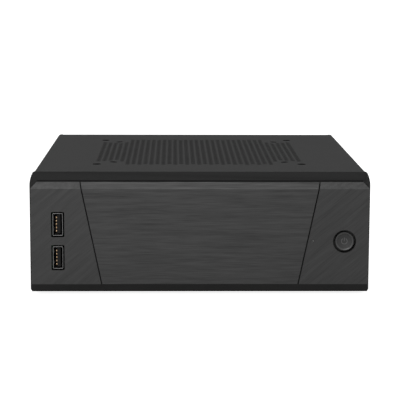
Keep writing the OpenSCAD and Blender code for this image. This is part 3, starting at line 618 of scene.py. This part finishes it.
cover_low, cover_high = box_mm("top_cover")
bm = bmesh.new()
print("vent holes:", lay_lid(bm, cover_low, cover_high))
for side in (-1, 1):
    fold_side(bm, side, cover_low, cover_high)
fold_lip(bm, cover_high)
bmesh.ops.remove_doubles(bm, verts=bm.verts, dist=0.01)
outward(bm, Vector((90, 0, 80)))
bmesh.ops.solidify(bm, geom=bm.faces, thickness=SHEET)
print("cover edges broken:", break_edges(bm, 0.15, where=outside_vent))
# The walls of the fan mount holes and slots take a near-black second coat: painted shade inside the holes
for face in bm.faces:
    at = face.calc_center_median()
    if abs(face.normal.z) < 0.8 and max(abs(at.x), abs(at.y)) < 66 and outside_vent(face.edges[0]):
        face.material_index = 1
piece("folded_cover", bm, ["top_cover", "vent_grille"], others=(finishes["hole_wall_shade"],))


# %% [markdown]
# ## Shapes used again and again
# Most parts of a computer come from four processes: turning, stamping, moulding and drawing.
# A turned part is a profile spun about an axis. A stamped part is a flat face with holes
# that gets its thickness. A moulded part is a block with rounded edges. They are all made
# near the origin and are then put in place, as parts are at the assembly line.

# %% Turned, moulded and stamped shapes
def add(bm, part, place=Matrix(), coat=0):
    """Puts a sub-shape at its place in a larger one, and returns its edges there."""
    bmesh.ops.transform(part, matrix=place, verts=part.verts)
    for face in part.faces:
        face.material_index = coat
    mesh = bpy.data.meshes.new("part")
    part.to_mesh(mesh)
    part.free()
    before = set(bm.edges)
    bm.from_mesh(mesh)
    bpy.data.meshes.remove(mesh)
    return [e for e in bm.edges if e not in before]


def turned(profile, steps=48):
    """Radius and height pairs, spun about the Z axis."""
    part = bmesh.new()
    verts = [part.verts.new((radius, 0, height)) for radius, height in profile]
    edges = [part.edges.new(pair) for pair in zip(verts, verts[1:])]
    bmesh.ops.spin(
        part, geom=verts + edges, cent=(0, 0, 0), axis=(0, 0, 1), angle=math.tau, steps=steps, use_merge=True
    )
    bmesh.ops.remove_doubles(part, verts=part.verts, dist=0.001)
    bmesh.ops.recalc_face_normals(part, faces=part.faces)
    return part


def brick(low, high, width=0.1, segments=2):
    """A block between two corners, its edges rounded by width."""
    part = bmesh.new()
    bmesh.ops.create_cube(part, size=1)
    bmesh.ops.scale(part, vec=Vector(high) - Vector(low), verts=part.verts)
    bmesh.ops.translate(part, vec=(Vector(high) + Vector(low)) / 2, verts=part.verts)
    break_edges(part, width, segments)
    return part


def window(bm, width, height, radius, place=Matrix()):
    """A rectangular loop of edges with rounded corners."""
    part = bmesh.new()
    bmesh.ops.create_grid(part, x_segments=1, y_segments=1, size=0.5)
    bmesh.ops.scale(part, vec=(width, height, 1), verts=part.verts)
    bmesh.ops.bevel(
        part, geom=part.verts[:], offset=radius, offset_type="OFFSET", segments=4, profile=0.5,
        affect="VERTICES", clamp_overlap=True, material=-1,
    )
    bmesh.ops.delete(part, geom=part.faces[:], context="FACES_ONLY")
    return add(bm, part, place)


def thicken(bm, normal, thickness, width=0.12, angle=40):
    """Gives a cut sheet its thickness, on the side away from normal, and breaks its edges."""
    outward(bm, Vector(normal) * 500)
    bmesh.ops.solidify(bm, geom=bm.faces[:], thickness=thickness)
    break_edges(bm, width, angle=angle)


def facing_front(x, y, z):
    """Local X to the right, Y up, Z out of the front."""
    return Matrix.Translation((x, y, z)) @ rotated(90, "X")


def facing_back(x, y, z):
    """Local Y up, Z out of the back."""
    turn = rotated(-90, "X") @ Matrix.Rotation(math.pi, 4, "Z")
    return Matrix.Translation((x, y, z)) @ turn


# %% [markdown]
# ## Front moulding
# The bezel is a moulding, so its edges carry a small radius. The solid already has the right
# outline, so a copy of it is merged, its flat triangles are dissolved to whole faces, and its
# edges are rounded. A rounded edge is what catches the light along the rim of a real product.

# %% Softened copies
def softened(node, width, name=None, angle=30, segments=2):
    bm = bmesh.new()
    bm.from_mesh(frame["nodes"][node].data)
    bmesh.ops.scale(bm, vec=(1 / MM,) * 3, verts=bm.verts)
    bmesh.ops.remove_doubles(bm, verts=bm.verts, dist=0.004)
    bmesh.ops.dissolve_limit(bm, angle_limit=math.radians(0.5), verts=bm.verts, edges=bm.edges)
    bmesh.ops.recalc_face_normals(bm, faces=bm.faces)
    print(node, "edges broken:", break_edges(bm, width, segments, angle))
    return piece(name or node + "_soft", bm, [node])


softened("front_bezel", 0.2, "bezel_moulding")

# %% [markdown]
# ## Brushed panels
# Each panel is sheared from brushed sheet, pierced for its sockets, and its top strip is bent
# back by 45 degrees. Cutting the flat shape first and bending it after keeps every hole clean.

# %% Panels
front_low, front_high = box_mm("centre_panel")
FRONT = front_low.y
PANEL_T = 1.6
PANEL_BEND = front_high.z - 3.7
CENTRE_TOP, CENTRE_BOTTOM = 70.0, 57.5
SEAM = 0.7
CORNER_CUT = 3.4


def panel(name, node, corners, cutouts, finish=None):
    """Corners in X and Z; cutouts are functions that add loops of edges."""
    bm = bmesh.new()
    edges = outline(bm, [(x, FRONT, z) for x, z in corners])
    for cut in cutouts:
        edges += cut(bm)
    fill(bm, edges, (0, -1, 0))
    whole = bm.verts[:] + bm.edges[:] + bm.faces[:]
    bmesh.ops.bisect_plane(bm, geom=whole, plane_co=(0, 0, PANEL_BEND), plane_no=(0, 0, 1))
    for vert in bm.verts:
        vert.co.y += max(0.0, vert.co.z - PANEL_BEND)
    thicken(bm, (0, -1, 0), PANEL_T, 0.15, angle=20)
    return piece(name, bm, [node], finish)


bottom, top = front_low.z, front_high.z
wing_side = box_mm("right_wing_panel")[1].x
wing = [(CENTRE_BOTTOM + SEAM, bottom), (wing_side, bottom), (wing_side, top - CORNER_CUT)]
wing += [(wing_side - CORNER_CUT, top), (CENTRE_TOP + SEAM, top)]
middle = [(-CENTRE_BOTTOM, bottom), (CENTRE_BOTTOM, bottom), (CENTRE_TOP, top), (-CENTRE_TOP, top)]

usb_low, usb_high = box_mm("front_usb_shells")
USB_W, USB_H = 5.9, 13.2
USB_GAP = 0.9
usb_x = (usb_low.x + usb_high.x) / 2
usb_rows = (usb_low.z + USB_H / 2, usb_high.z - USB_H / 2)
button_low, button_high = box_mm("power_button")
button_at = (button_low + button_high) / 2
pipe_low, pipe_high = box_mm("light_pipe")
led_at = (pipe_low + pipe_high) / 2
BUTTON_HOLE = 13.6
PINHOLE = 1.2

usb_cuts = [
    lambda bm, z=z: window(bm, USB_W + 2 * USB_GAP, USB_H + 2 * USB_GAP, 0.7, facing_front(usb_x, FRONT, z))
    for z in usb_rows
]
round_cuts = [
    lambda bm: round_hole(bm, BUTTON_HOLE, facing_front(button_at.x, FRONT, button_at.z), 64),
    lambda bm: round_hole(bm, PINHOLE, facing_front(led_at.x, FRONT, led_at.z), 16),
]
panel("centre_brushed", "centre_panel", middle, [])
panel("left_brushed", "left_wing_panel", [(-x, z) for x, z in wing], usb_cuts, brushed_left)
panel("right_brushed", "right_wing_panel", wing, round_cuts, brushed_right_shaded)

# %% [markdown]
# ## Front USB sockets
# A socket is a tin-plated shell, folded from strip and left open at the front, around a black
# tongue that carries the contacts. The shell is a ring of sheet drawn out to a tube.
# Inside, bent leaves press on the plug, and a gold line of contacts shows beside the tongue.

# %% USB shells
def shell(width, height, length, radius=0.55, wall=0.28):
    """A folded tube that reaches from z = 0 down to -length."""
    part = bmesh.new()
    edges = window(part, width, height, radius)
    edges += window(part, width - 2 * wall, height - 2 * wall, radius - wall)
    fill(part, edges, (0, 0, 1))
    thicken(part, (0, 0, 1), length, 0.08, angle=60)
    return part


def leaf(width, length, rise):
    """A contact leaf: a strip arched by rise."""
    part = bmesh.new()
    bmesh.ops.create_grid(part, x_segments=1, y_segments=6, size=0.5)
    bmesh.ops.scale(part, vec=(width, length, 1), verts=part.verts)
    for vert in part.verts:
        vert.co.z = rise * math.cos(math.pi * vert.co.y / length)
    bmesh.ops.solidify(part, geom=part.faces[:], thickness=0.2)
    return part


bm = bmesh.new()
for z in usb_rows:
    add(bm, shell(USB_W, USB_H, usb_high.y - usb_low.y), facing_front(usb_x, usb_low.y, z))
    for side in (-1, 1):
        for offset in (-3.2, 3.2):
            along = Matrix.Translation((usb_x + side * (USB_W / 2 - 0.4), usb_low.y + 6, z + offset))
            inward = rotated(-90 * side, "Y")
            add(bm, leaf(2.2, 6.5, 0.5), along @ inward)
piece("usb_folded_shells", bm, ["front_usb_shells"], finishes["dull_tin"])

# %% USB tongues and contacts
TONGUE = (-0.6, 1.6)
bm = bmesh.new()
for z in usb_rows:
    add(bm, brick((usb_x - 2.6, FRONT + 12, z - 6.25), (usb_x + 2.6, FRONT + 17.4, z + 6.25)))
    low, high = (usb_x + TONGUE[0], FRONT + 1.6, z - 5.6), (usb_x + TONGUE[1], FRONT + 12.2, z + 5.6)
    add(bm, brick(low, high, 0.25))
piece("usb_tongues", bm, ["front_usb_insulators"])

bm = bmesh.new()
for z in usb_rows:
    for i in range(-2, 3):
        low = (usb_x + TONGUE[0] - 0.5, FRONT + 1.3, z + i * 2 - 0.5)
        high = (usb_x + TONGUE[0] + 0.1, FRONT + 4.6, z + i * 2 + 0.5)
        add(bm, brick(low, high, 0.12))
    for i in (-3.5, -1, 1, 3.5):
        low = (usb_x + TONGUE[0] - 0.25, FRONT + 5.4, z + i - 0.5)
        high = (usb_x + TONGUE[0] + 0.1, FRONT + 12, z + i + 0.5)
        add(bm, brick(low, high, 0.1))
piece("usb_contact_rows", bm, ["front_usb_contacts"])

# %% [markdown]
# ## Power button
# The cap is a turned-looking moulding: a dished face for the fingertip, a soft rim, a straight
# skirt, a flange that keeps it in the bezel, and a stem down to the switch. One spun profile
# gives all of it. The wall round the dish takes a lighter, metallic finish of its own: a painted
# highlight for the light the rim catches, while the metal also reflects for real. The
# usual ring-and-line sign is printed in the dish, so it rides the cap.

# %% Button cap and its sign
CAP_R = 5.5
DISH_R = 17.0
DISH_EDGE = 4.4
DISH_WALL = 0.6
RING_R = 5.1
FLANGE_R = 7.1


def dish(radius):
    """Height of the cap's face at a radius: a shallow bowl inside a steep little wall."""
    return math.sqrt(DISH_R**2 - DISH_EDGE**2) - math.sqrt(DISH_R**2 - radius**2) - DISH_WALL


skirt = button_high.y - FRONT
profile = [(r, dish(r)) for r in (0, 0.8, 1.6, 2.4, 3.2, 3.9, DISH_EDGE)]
profile += [(4.75, -0.2), (5.0, -0.03), (5.15, 0), (5.35, -0.06), (CAP_R, -0.25), (CAP_R, -4.6)]
profile += [(FLANGE_R - 0.2, -4.6), (FLANGE_R, -4.8), (FLANGE_R, -5.8), (2.0, -5.8)]
profile += [(2.0, -skirt + 0.2), (1.8, -skirt), (0, -skirt)]
bm = bmesh.new()
add(bm, turned(profile, 64), facing_front(button_at.x, FRONT, button_at.z))
# The dish wall and the rim take the lighter metallic second coat: a painted highlight round the rim
for face in bm.faces:
    middle = face.calc_center_median()
    off_axis = math.hypot(middle.x - button_at.x, middle.z - button_at.z)
    if DISH_EDGE < off_axis < RING_R and middle.y < FRONT + 1:
        face.material_index = 1
piece("button_cap", bm, ["power_button"], crease=50, others=(finishes["painted_rim_highlight"],))

SIGN_R = 1.7
SIGN_LINE = 0.36
sign = bmesh.new()
section = [(SIGN_R - SIGN_LINE / 2, 0.06), (SIGN_R + SIGN_LINE / 2, 0.06)]
section += [(SIGN_R + SIGN_LINE / 2, -0.1), (SIGN_R - SIGN_LINE / 2, -0.1)]
edges = outline(sign, [(r, 0, dish(SIGN_R) + h) for r, h in section])
bmesh.ops.rotate(sign, verts=sign.verts, matrix=rotated(120, "Z", 3))
spun = bmesh.ops.spin(sign, geom=edges, cent=(0, 0, 0), axis=(0, 0, 1), angle=math.radians(300), steps=30)
bmesh.ops.holes_fill(sign, edges=sign.edges, sides=4)
bmesh.ops.recalc_face_normals(sign, faces=sign.faces)
bm = bmesh.new()
printed = facing_front(button_at.x, FRONT, button_at.z)
add(bm, sign, printed)
stroke = brick((-SIGN_LINE / 2, 0.1, dish(0) - 0.1), (SIGN_LINE / 2, 2.2, dish(SIGN_R) + 0.08), 0.04)
add(bm, stroke, printed)
piece("button_sign", bm, finish=finishes["sign_print"], slot="button_plastic", body="power_button")

# %% [markdown]
# ## Return spring
# A coil behind the cap pushes it back out. It is wound from round wire, and its end turns lie
# closed so that it stands square on the switch. On the real switch one end rests on the switch
# and the other follows the cap; here the coil is one rigid piece on its body and does not shorten.

# %% Return spring
WIRE, TURNS, STEPS, SIDES = 0.6, 5, 40, 10


def coil_rise(turn, length):
    """How far the wire has climbed after so many turns: the end turns are closed."""
    closed = WIRE * 1.05
    open_pitch = (length - 2 * closed) / (TURNS - 2)
    rest = min(max(turn - 1, 0), TURNS - 2)
    return closed * min(turn, 1) + open_pitch * rest + closed * max(turn - TURNS + 1, 0)


low, high = box_mm("button_spring")
middle = (low + high) / 2
radius = (high.x - low.x - WIRE) / 2
length = high.y - low.y - WIRE
bm = bmesh.new()
rings = []
for step in range(TURNS * STEPS + 1):
    angle = math.tau * step / STEPS
    out = Vector((math.cos(angle), 0, math.sin(angle)))
    rise = WIRE / 2 + coil_rise(step / STEPS, length)
    centre = Vector((middle.x, low.y + rise, middle.z)) + radius * out
    corners = [math.tau * side / SIDES for side in range(SIDES)]
    rings.append([
        bm.verts.new(centre + WIRE / 2 * (math.cos(c) * out + Vector((0, math.sin(c), 0))))
        for c in corners
    ])
for this, after in zip(rings, rings[1:]):
    for side in range(SIDES):
        nxt = (side + 1) % SIDES
        bm.faces.new((this[side], this[nxt], after[nxt], after[side]))
bm.faces.new(rings[0])
bm.faces.new(rings[-1])
bmesh.ops.recalc_face_normals(bm, faces=bm.faces)
spring = piece("return_spring", bm, ["button_spring"])
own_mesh(spring)
print("spring:", TURNS, "turns, length", round(high.y - low.y, 2), "mm")

# %% Light pipe
pipe_length = pipe_high.y - FRONT
lens = [(0, -0.3), (0.25, -0.33), (0.42, -0.43), (0.5, -0.6), (0.5, -1.7), (1.05, -1.7), (1.1, -1.8)]
lens += [(1.1, -pipe_length + 0.1), (1.0, -pipe_length), (0, -pipe_length)]
bm = bmesh.new()
add(bm, turned(lens, 24), facing_front(led_at.x, FRONT, led_at.z))
piece("light_pipe_lens", bm, ["light_pipe"])

# %% [markdown]
# ## Cover screws and feet
# The cover is held by three pan-head screws at the back. The head is a loop drawn out in
# steps, with a cross recess pressed in. The feet are turned rubber buttons, hollow below.

# %% Cross-head screws
def draw_out(bm, edges, steps):
    """Extrudes a loop again and again: each step scales it about the Z axis and lifts it."""
    for factor, rise in steps:
        made = bmesh.ops.extrude_edge_only(bm, edges=edges)["geom"]
        verts = verts_in(made)
        bmesh.ops.scale(bm, vec=(factor, factor, 1), verts=verts)
        bmesh.ops.translate(bm, vec=(0, 0, rise), verts=verts)
        ring = set(verts)
        edges = [e for e in edges_in(made) if set(e.verts) <= ring]
    bmesh.ops.edgeloop_fill(bm, edges=edges)


def cross_screw(head_r, head_h, shank_r, length):
    """A pan-head screw along Z, its seat at z = 0."""
    part = bmesh.new()
    flat = head_r * 0.62
    arm, half = head_r * 0.52, head_r * 0.12
    rim = round_hole(part, 2 * flat, Matrix.Translation((0, 0, head_h)), 32)
    quarter = [(half, half), (half, arm), (-half, arm)]
    corners = []
    for turn in range(4):
        spin = rotated(90 * turn, "Z", 3)
        corners += [spin @ Vector((x, y, head_h)) for x, y in quarter]
    cross = outline(part, corners)
    fill(part, rim + cross, (0, 0, 1))
    draw_out(part, cross, [(0.9, -head_h * 0.4), (0.45, -head_h * 0.2)])
    steps = [(1.26, -head_h * 0.1), (1.14, -head_h * 0.18), (1.1, -head_h * 0.3), (1.02, -head_h * 0.37)]
    steps += [(1.0, -head_h * 0.05), (shank_r / head_r, 0), (1.0, -length + 0.4), (0.8, -0.4)]
    draw_out(part, rim, steps)
    bmesh.ops.recalc_face_normals(part, faces=part.faces)
    return part


screw_low, screw_high = box_mm("cover_screws")
lip_face = cover_high.y
bm = bmesh.new()
for x in (screw_low.x + 3, 0, screw_high.x - 3):
    z = (screw_low.z + screw_high.z) / 2
    add(bm, cross_screw(3.0, screw_high.y - lip_face, 1.5, 5.0), facing_back(x, lip_face, z))
piece("cover_pan_screws", bm, ["cover_screws"])

# %% Feet
FOOT_R = 7
feet_low, feet_high = box_mm("rubber_feet")
foot = [(0, 0.7), (2.4, 0.7), (2.8, 0.1), (3.1, 0), (5.3, 0), (5.7, 0.12), (6.9, feet_high.z - 0.3)]
foot += [(7.0, feet_high.z), (0, feet_high.z)]
bm = bmesh.new()
for x in (feet_low.x + FOOT_R, feet_high.x - FOOT_R):
    for y in (feet_low.y + FOOT_R, feet_high.y - FOOT_R):
        add(bm, turned(foot), Matrix.Translation((x, y, 0)))
piece("turned_feet", bm, ["rubber_feet"])

# %% [markdown]
# ## Floor pan and rear panel
# Both are pierced sheets with folded flanges. The outline and all holes are drawn as loops,
# the sheet between them is filled in, the flanges are pulled from their edges, and the sheet
# gets its thickness at the end. That is the order in which a press does it.

# %% Floor pan
pan_low, pan_high = box_mm("base_pan")
PAN_X, PAN_FRONT, PAN_BACK = pan_high.x, pan_low.y, pan_high.y
FLANGE_FRONT, FLANGE_BACK = PAN_FRONT + 3, PAN_BACK - 3
FLANGE_H = 9.0
WALL_MOUNTS = (75.0, 100.0)
MOUNT_HOLE_D = 4.4
PAN_SLOT = (44.0, 3.0)
bm = bmesh.new()
corners = [(-PAN_X, PAN_FRONT), (PAN_X, PAN_FRONT), (PAN_X, FLANGE_FRONT), (PAN_X, FLANGE_BACK)]
corners += [(PAN_X, PAN_BACK), (-PAN_X, PAN_BACK), (-PAN_X, FLANGE_BACK), (-PAN_X, FLANGE_FRONT)]
edges = outline(bm, [(x, y, pan_low.z) for x, y in corners])
level = Matrix.Translation((0, 0, pan_low.z))
for square in WALL_MOUNTS:
    for sx in (-1, 1):
        for sy in (-1, 1):
            corner = Matrix.Translation((sx * square / 2, sy * square / 2, 0))
            edges += round_hole(bm, MOUNT_HOLE_D, level @ corner)
for i in range(-4, 5):
    turn = Matrix.Translation((i * 6, 0, 0)) @ rotated(90, "Z")
    edges += long_hole(bm, *PAN_SLOT, level @ turn)
fill(bm, edges, (0, 0, -1))
for x in (-PAN_X, PAN_X):
    ends = Vector((x, FLANGE_FRONT, pan_low.z)), Vector((x, FLANGE_BACK, pan_low.z))
    pull(bm, edges_between(bm, *ends), (0, 0, FLANGE_H))
thicken(bm, (0, 0, -1), SHEET)
piece("pierced_pan", bm, ["base_pan"])

# %% Rear panel
APERTURE = (158.75, 44.45)
FLANGE_X = 80
REAR_FLANGE = 7
REAR_SLOT = (7.0, 3.4)
INLET_HOLE_D = 8.2
rear_low, rear_high = box_mm("rear_panel")
shield_low, shield_high = box_mm("io_shield")
jack_low, jack_high = box_mm("dc_jack")
jack_at = (jack_low + jack_high) / 2
rear_face = rear_high.y
bm = bmesh.new()
side, foot_z, head_z = rear_high.x, rear_low.z, rear_high.z
corners = [(-side, foot_z), (-FLANGE_X, foot_z), (FLANGE_X, foot_z), (side, foot_z)]
corners += [(side, head_z - 1), (side - 1, head_z), (1 - side, head_z), (-side, head_z - 1)]
edges = outline(bm, [(x, rear_face, z) for x, z in corners])
middle_z = shield_low.z + APERTURE[1] / 2
edges += window(bm, *APERTURE, 1.0, facing_back(0, rear_face, middle_z))
upright = rotated(90, "Z")
slot_z = shield_low.z + APERTURE[1] + 6
for i in range(-10, 11):
    edges += long_hole(bm, *REAR_SLOT, facing_back(i * 8, rear_face, slot_z) @ upright)
edges += round_hole(bm, INLET_HOLE_D, facing_back(jack_at.x, rear_face, jack_at.z), 32)
fill(bm, edges, (0, 1, 0))
ends = Vector((-FLANGE_X, rear_face, foot_z)), Vector((FLANGE_X, rear_face, foot_z))
pull(bm, edges_between(bm, *ends), (0, -REAR_FLANGE, 0))
thicken(bm, (0, 1, 0), SHEET)
piece("pierced_rear_panel", bm, ["rear_panel"])

# %% [markdown]
# ## Socket shield and rear sockets
# The shield is thin tin plate with a pressed frame around each socket and rows of air holes.
# The sockets behind it are folded cans: a face with openings, drawn deep, with a coloured
# tongue and its contacts inside. Colours follow the usual code: blue tongues, and lime, blue and
# pink for the sound sockets.

# %% Shield
shield_face = shield_high.y
board_z = box_mm("motherboard")[1].z
ports = {
    "sound": (-66, 12.6, 35), "network": (-44, 17, 30), "usb_one": (-21, 14.8, 16),
    "video_one": (0, 15.4, 6.2), "video_two": (20, 16.4, 5.8), "usb_two": (42, 14.8, 16),
}
bm = bmesh.new()
edges = window(bm, APERTURE[0] - 0.2, APERTURE[1] - 0.2, 1.0, facing_back(0, shield_face, middle_z))
for x, width, height in ports.values():
    edges += window(bm, width + 0.6, height + 0.6, 0.5, facing_back(x, shield_face, board_z + height / 2))
for i in range(25):
    for j in range(4):
        edges += round_hole(bm, 2.2, facing_back(-24 + i * 4, shield_face, board_z + 23 + j * 4), 10)
fill(bm, edges, (0, 1, 0))
thicken(bm, (0, 1, 0), 0.5, 0.08)
for x, width, height in ports.values():
    ridge = bmesh.new()
    edges = window(ridge, width + 3.4, height + 3.4, 1.2)
    edges += window(ridge, width + 1.6, height + 1.6, 0.8)
    fill(ridge, edges, (0, 0, 1))
    thicken(ridge, (0, 0, 1), 0.6, 0.25)
    add(bm, ridge, facing_back(x, shield_face + 0.4, board_z + height / 2))
piece("pressed_shield", bm, ["io_shield"])

# %% Cans
def can(width, height, loops, depth):
    """A folded can from z = 0 down to -depth; loops are the corners of its openings."""
    part = bmesh.new()
    edges = window(part, width, height, 0.5, Matrix.Translation((0, height / 2, 0)))
    for corners in loops:
        edges += outline(part, [(x, y, 0) for x, y in corners])
    fill(part, edges, (0, 0, 1))
    thicken(part, (0, 0, 1), depth, 0.15, angle=60)
    return part


def box_loop(x, y, width, height):
    half = width / 2
    return [(x - half, y), (x + half, y), (x + half, y + height), (x - half, y + height)]


BLUE, GOLD, BLACK = 1, 2, 3
socket_coats = (finishes["blue_tongue"], finishes["gold_contact"], finishes["black_plastic"])


def plug_hole(bm, place, y):
    """The inside of a USB opening whose lower edge is at y: tongue, contacts and back wall."""
    add(bm, brick((-5.6, y + 2.7, -10), (5.6, y + 4.5, -1.2), 0.2), place, BLUE)
    for x in (-3.5, -1, 1, 3.5):
        add(bm, brick((x - 0.5, y + 2.5, -8), (x + 0.5, y + 2.8, -1.6)), place, GOLD)
    add(bm, brick((-6.4, y - 0.1, -12), (6.4, y + 5.3, -9.8)), place, BLACK)


# %% USB towers and the network socket
bm = bmesh.new()
for name in ("usb_one", "usb_two"):
    x, width, height = ports[name]
    place = facing_back(x, lip_face, board_z)
    rows = (1.6, 9.2)
    add(bm, can(width, height, [box_loop(0, y, 12.5, 5.2) for y in rows], 22), place)
    for y in rows:
        plug_hole(bm, place, y)
piece("usb_towers", bm, ["rear_usb_stacks"], others=socket_coats)

LIME_LAMP, AMBER_LAMP = 4, 5
x, width, height = ports["network"]
place = facing_back(x, lip_face, board_z)
rows = (1.4, 8.8)
keyed = [(-5.9, 18.6), (-3.1, 18.6), (-3.1, 17), (3.1, 17), (3.1, 18.6), (5.9, 18.6)]
keyed += [(5.9, 26.4), (-5.9, 26.4)]
bm = bmesh.new()
add(bm, can(width, height, [keyed] + [box_loop(0, y, 12.5, 5.2) for y in rows], 22), place)
for y in rows:
    plug_hole(bm, place, y)
add(bm, brick((-6.0, 16.9, -14), (6.0, 26.5, -12)), place, BLACK)
for i in range(8):
    wire = -3.57 + i * 1.02
    add(bm, brick((wire - 0.2, 25.0, -10), (wire + 0.2, 25.6, -2.5), 0.08), place, GOLD)
for side, coat in ((-1, LIME_LAMP), (1, AMBER_LAMP)):
    add(bm, brick((side * 6.2 - 1.3, 27.2, -0.5), (side * 6.2 + 1.3, 29, 0.15), 0.2), place, coat)
lamps = (finishes["lime_lens"], finishes["amber_lens"])
piece("network_tower", bm, ["lan_usb_stack"], others=socket_coats + lamps)

# %% Video sockets
slanted = [(-6.9, 5.4), (-6.9, 2.4), (-5.3, 0.8), (5.3, 0.8), (6.9, 2.4), (6.9, 5.4)]
notched = [(-7.6, 0.7), (7.6, 0.7), (7.6, 5.1), (-6.1, 5.1), (-7.6, 3.6)]
bm = bmesh.new()
for name, opening, tongue in (("video_one", slanted, (2.9, 4.1)), ("video_two", notched, (2.4, 3.5))):
    x, width, height = ports[name]
    place = facing_back(x, lip_face, board_z)
    add(bm, can(width, height, [opening], 13), place)
    add(bm, brick((-5.4, tongue[0], -9), (5.4, tongue[1], -0.9), 0.15), place, BLACK)
    for i in range(9):
        pin = -4.4 + i * 1.1
        low, high = (pin - 0.22, tongue[0] - 0.12, -8), (pin + 0.22, tongue[0] + 0.1, -1.3)
        add(bm, brick(low, high, 0.05), place, GOLD)
    add(bm, brick((-7.65, 0.6, -10), (7.65, 5.5, -8.8)), place, BLACK)
piece("video_cans", bm, ["video_ports"], others=socket_coats)

# %% Sound sockets
JACK_STEP = 11.5
x, width, height = ports["sound"]
place = facing_back(x, lip_face, board_z)
bm = bmesh.new()
block = bmesh.new()
edges = window(block, width, height, 0.6, Matrix.Translation((0, height / 2, 0)))
for i in range(3):
    edges += round_hole(block, 7.4, Matrix.Translation((0, 6 + i * JACK_STEP, 0)), 40)
fill(block, edges, (0, 0, 1))
thicken(block, (0, 0, 1), 18, 0.2, angle=60)
add(bm, block, place)
ring = [(1.8, -14), (1.8, 0.2), (2.0, 0.4), (2.3, 0.4), (2.5, 0.6), (3.4, 0.6), (3.7, 0.3)]
ring += [(3.7, -14), (1.8, -14)]
for i in range(3):
    add(bm, turned(ring, 40), place @ Matrix.Translation((0, 6 + i * JACK_STEP, 0)), i + 1)
add(bm, brick((-5, 1, -15), (5, 34, -13)), place)
rings = (finishes["pink_ring"], finishes["lime_ring"], finishes["blue_ring"])
piece("sound_block", bm, ["audio_jacks"], others=rings)

# %% Power inlet
barrel = [(0, -9), (2.8, -9), (2.8, 1.2), (3.0, 1.4), (5.0, 1.4), (5.3, 1.1), (5.3, 0)]
barrel += [(3.9, 0), (3.9, -9.2), (0, -9.2)]
pin = [(0, 0.5), (0.6, 0.45), (1.0, 0.2), (1.15, -0.3), (1.15, -9.1), (0, -9.1)]
place = facing_back(jack_at.x, rear_face, jack_at.z)
bm = bmesh.new()
add(bm, turned(barrel), place)
add(bm, turned(pin, 24), place, 1)
add(bm, brick((-4, -4, -15), (4, 4, -9.1), 0.4), place)
piece("inlet_barrel", bm, ["dc_jack"], others=(finishes["shield_steel"],))

# %% [markdown]
# ## Fan rotor
# A fan is moulded in one shot: a cup over the motor and seven swept blades. Each blade starts
# as a grid that is wrapped around the hub. Its pitch flattens towards the tip, as it does on
# a real fan, because the tip moves faster.

# %% Rotor
HUB_R, TIP_R = 16.6, 37.0
BLADES = 7
BLADE_T = 1.1
BLADE_Z = 8.4
CAMBER = 1.0


def blade():
    part = bmesh.new()
    bmesh.ops.create_grid(part, x_segments=8, y_segments=8, size=0.5)
    for vert in part.verts:
        out, along = vert.co.x + 0.5, vert.co.y
        radius = HUB_R + out * (TIP_R - HUB_R)
        pitch = math.radians(41 - 16 * out)
        chord = 14 + 9 * out
        turn = 0.3 * out + chord * along * math.cos(pitch) / radius
        lift = chord * along * math.sin(pitch) + CAMBER * (1 - 4 * along * along)
        vert.co = (radius * math.cos(turn), radius * math.sin(turn), BLADE_Z + lift)
    bmesh.ops.solidify(part, geom=part.faces[:], thickness=BLADE_T)
    break_edges(part, 0.3, angle=60)
    return part


rotor_low, rotor_high = box_mm("fan_rotor")
axle = (rotor_low + rotor_high) / 2
fan_z = rotor_low.z - 1.4
cup = [(0, 14.6), (15.6, 14.6), (16.6, 14.2), (17, 13.2), (17, 3.4), (15.5, 3.4), (15.5, 12.6), (1.5, 12.6)]
cup += [(1.5, 1.4), (0, 1.4)]
bm = bmesh.new()
place = Matrix.Translation((axle.x, axle.y, fan_z))
add(bm, turned(cup, 64), place)
for i in range(BLADES):
    add(bm, blade(), place @ Matrix.Rotation(math.tau * i / BLADES, 4, "Z"))
piece("swept_rotor", bm, ["fan_rotor"])

# %% [markdown]
# ## Parts inside
# Through the vent and the slots one sees the parts on the board. They are simple mouldings
# and blocks, so softened copies of their solids are enough: an edge that catches light is
# all that tells them from the dark.

# %% Softened parts inside
INSIDE = {
    "memory_modules": 0.15, "memory_sockets": 0.2, "chipset_heatsink": 0.2, "expansion_slot": 0.3,
    "chokes": 0.6, "capacitors": 0.5, "coin_cell": 0.4, "power_header": 0.3, "dc_converter": 0.3,
    "push_pins": 0.4, "cpu": 0.2, "standoffs": 0.2, "chassis_rivets": 0.25, "switch_plunger": 0.2,
    "fan_stator": 0.3, "drive_screws": 0.15, "tray_screws": 0.15, "panel_screws": 0.12,
    "front_usb_screws": 0.12, "motherboard_screws": 0.15,
}
for node, width in INSIDE.items():
    softened(node, width, angle=40)
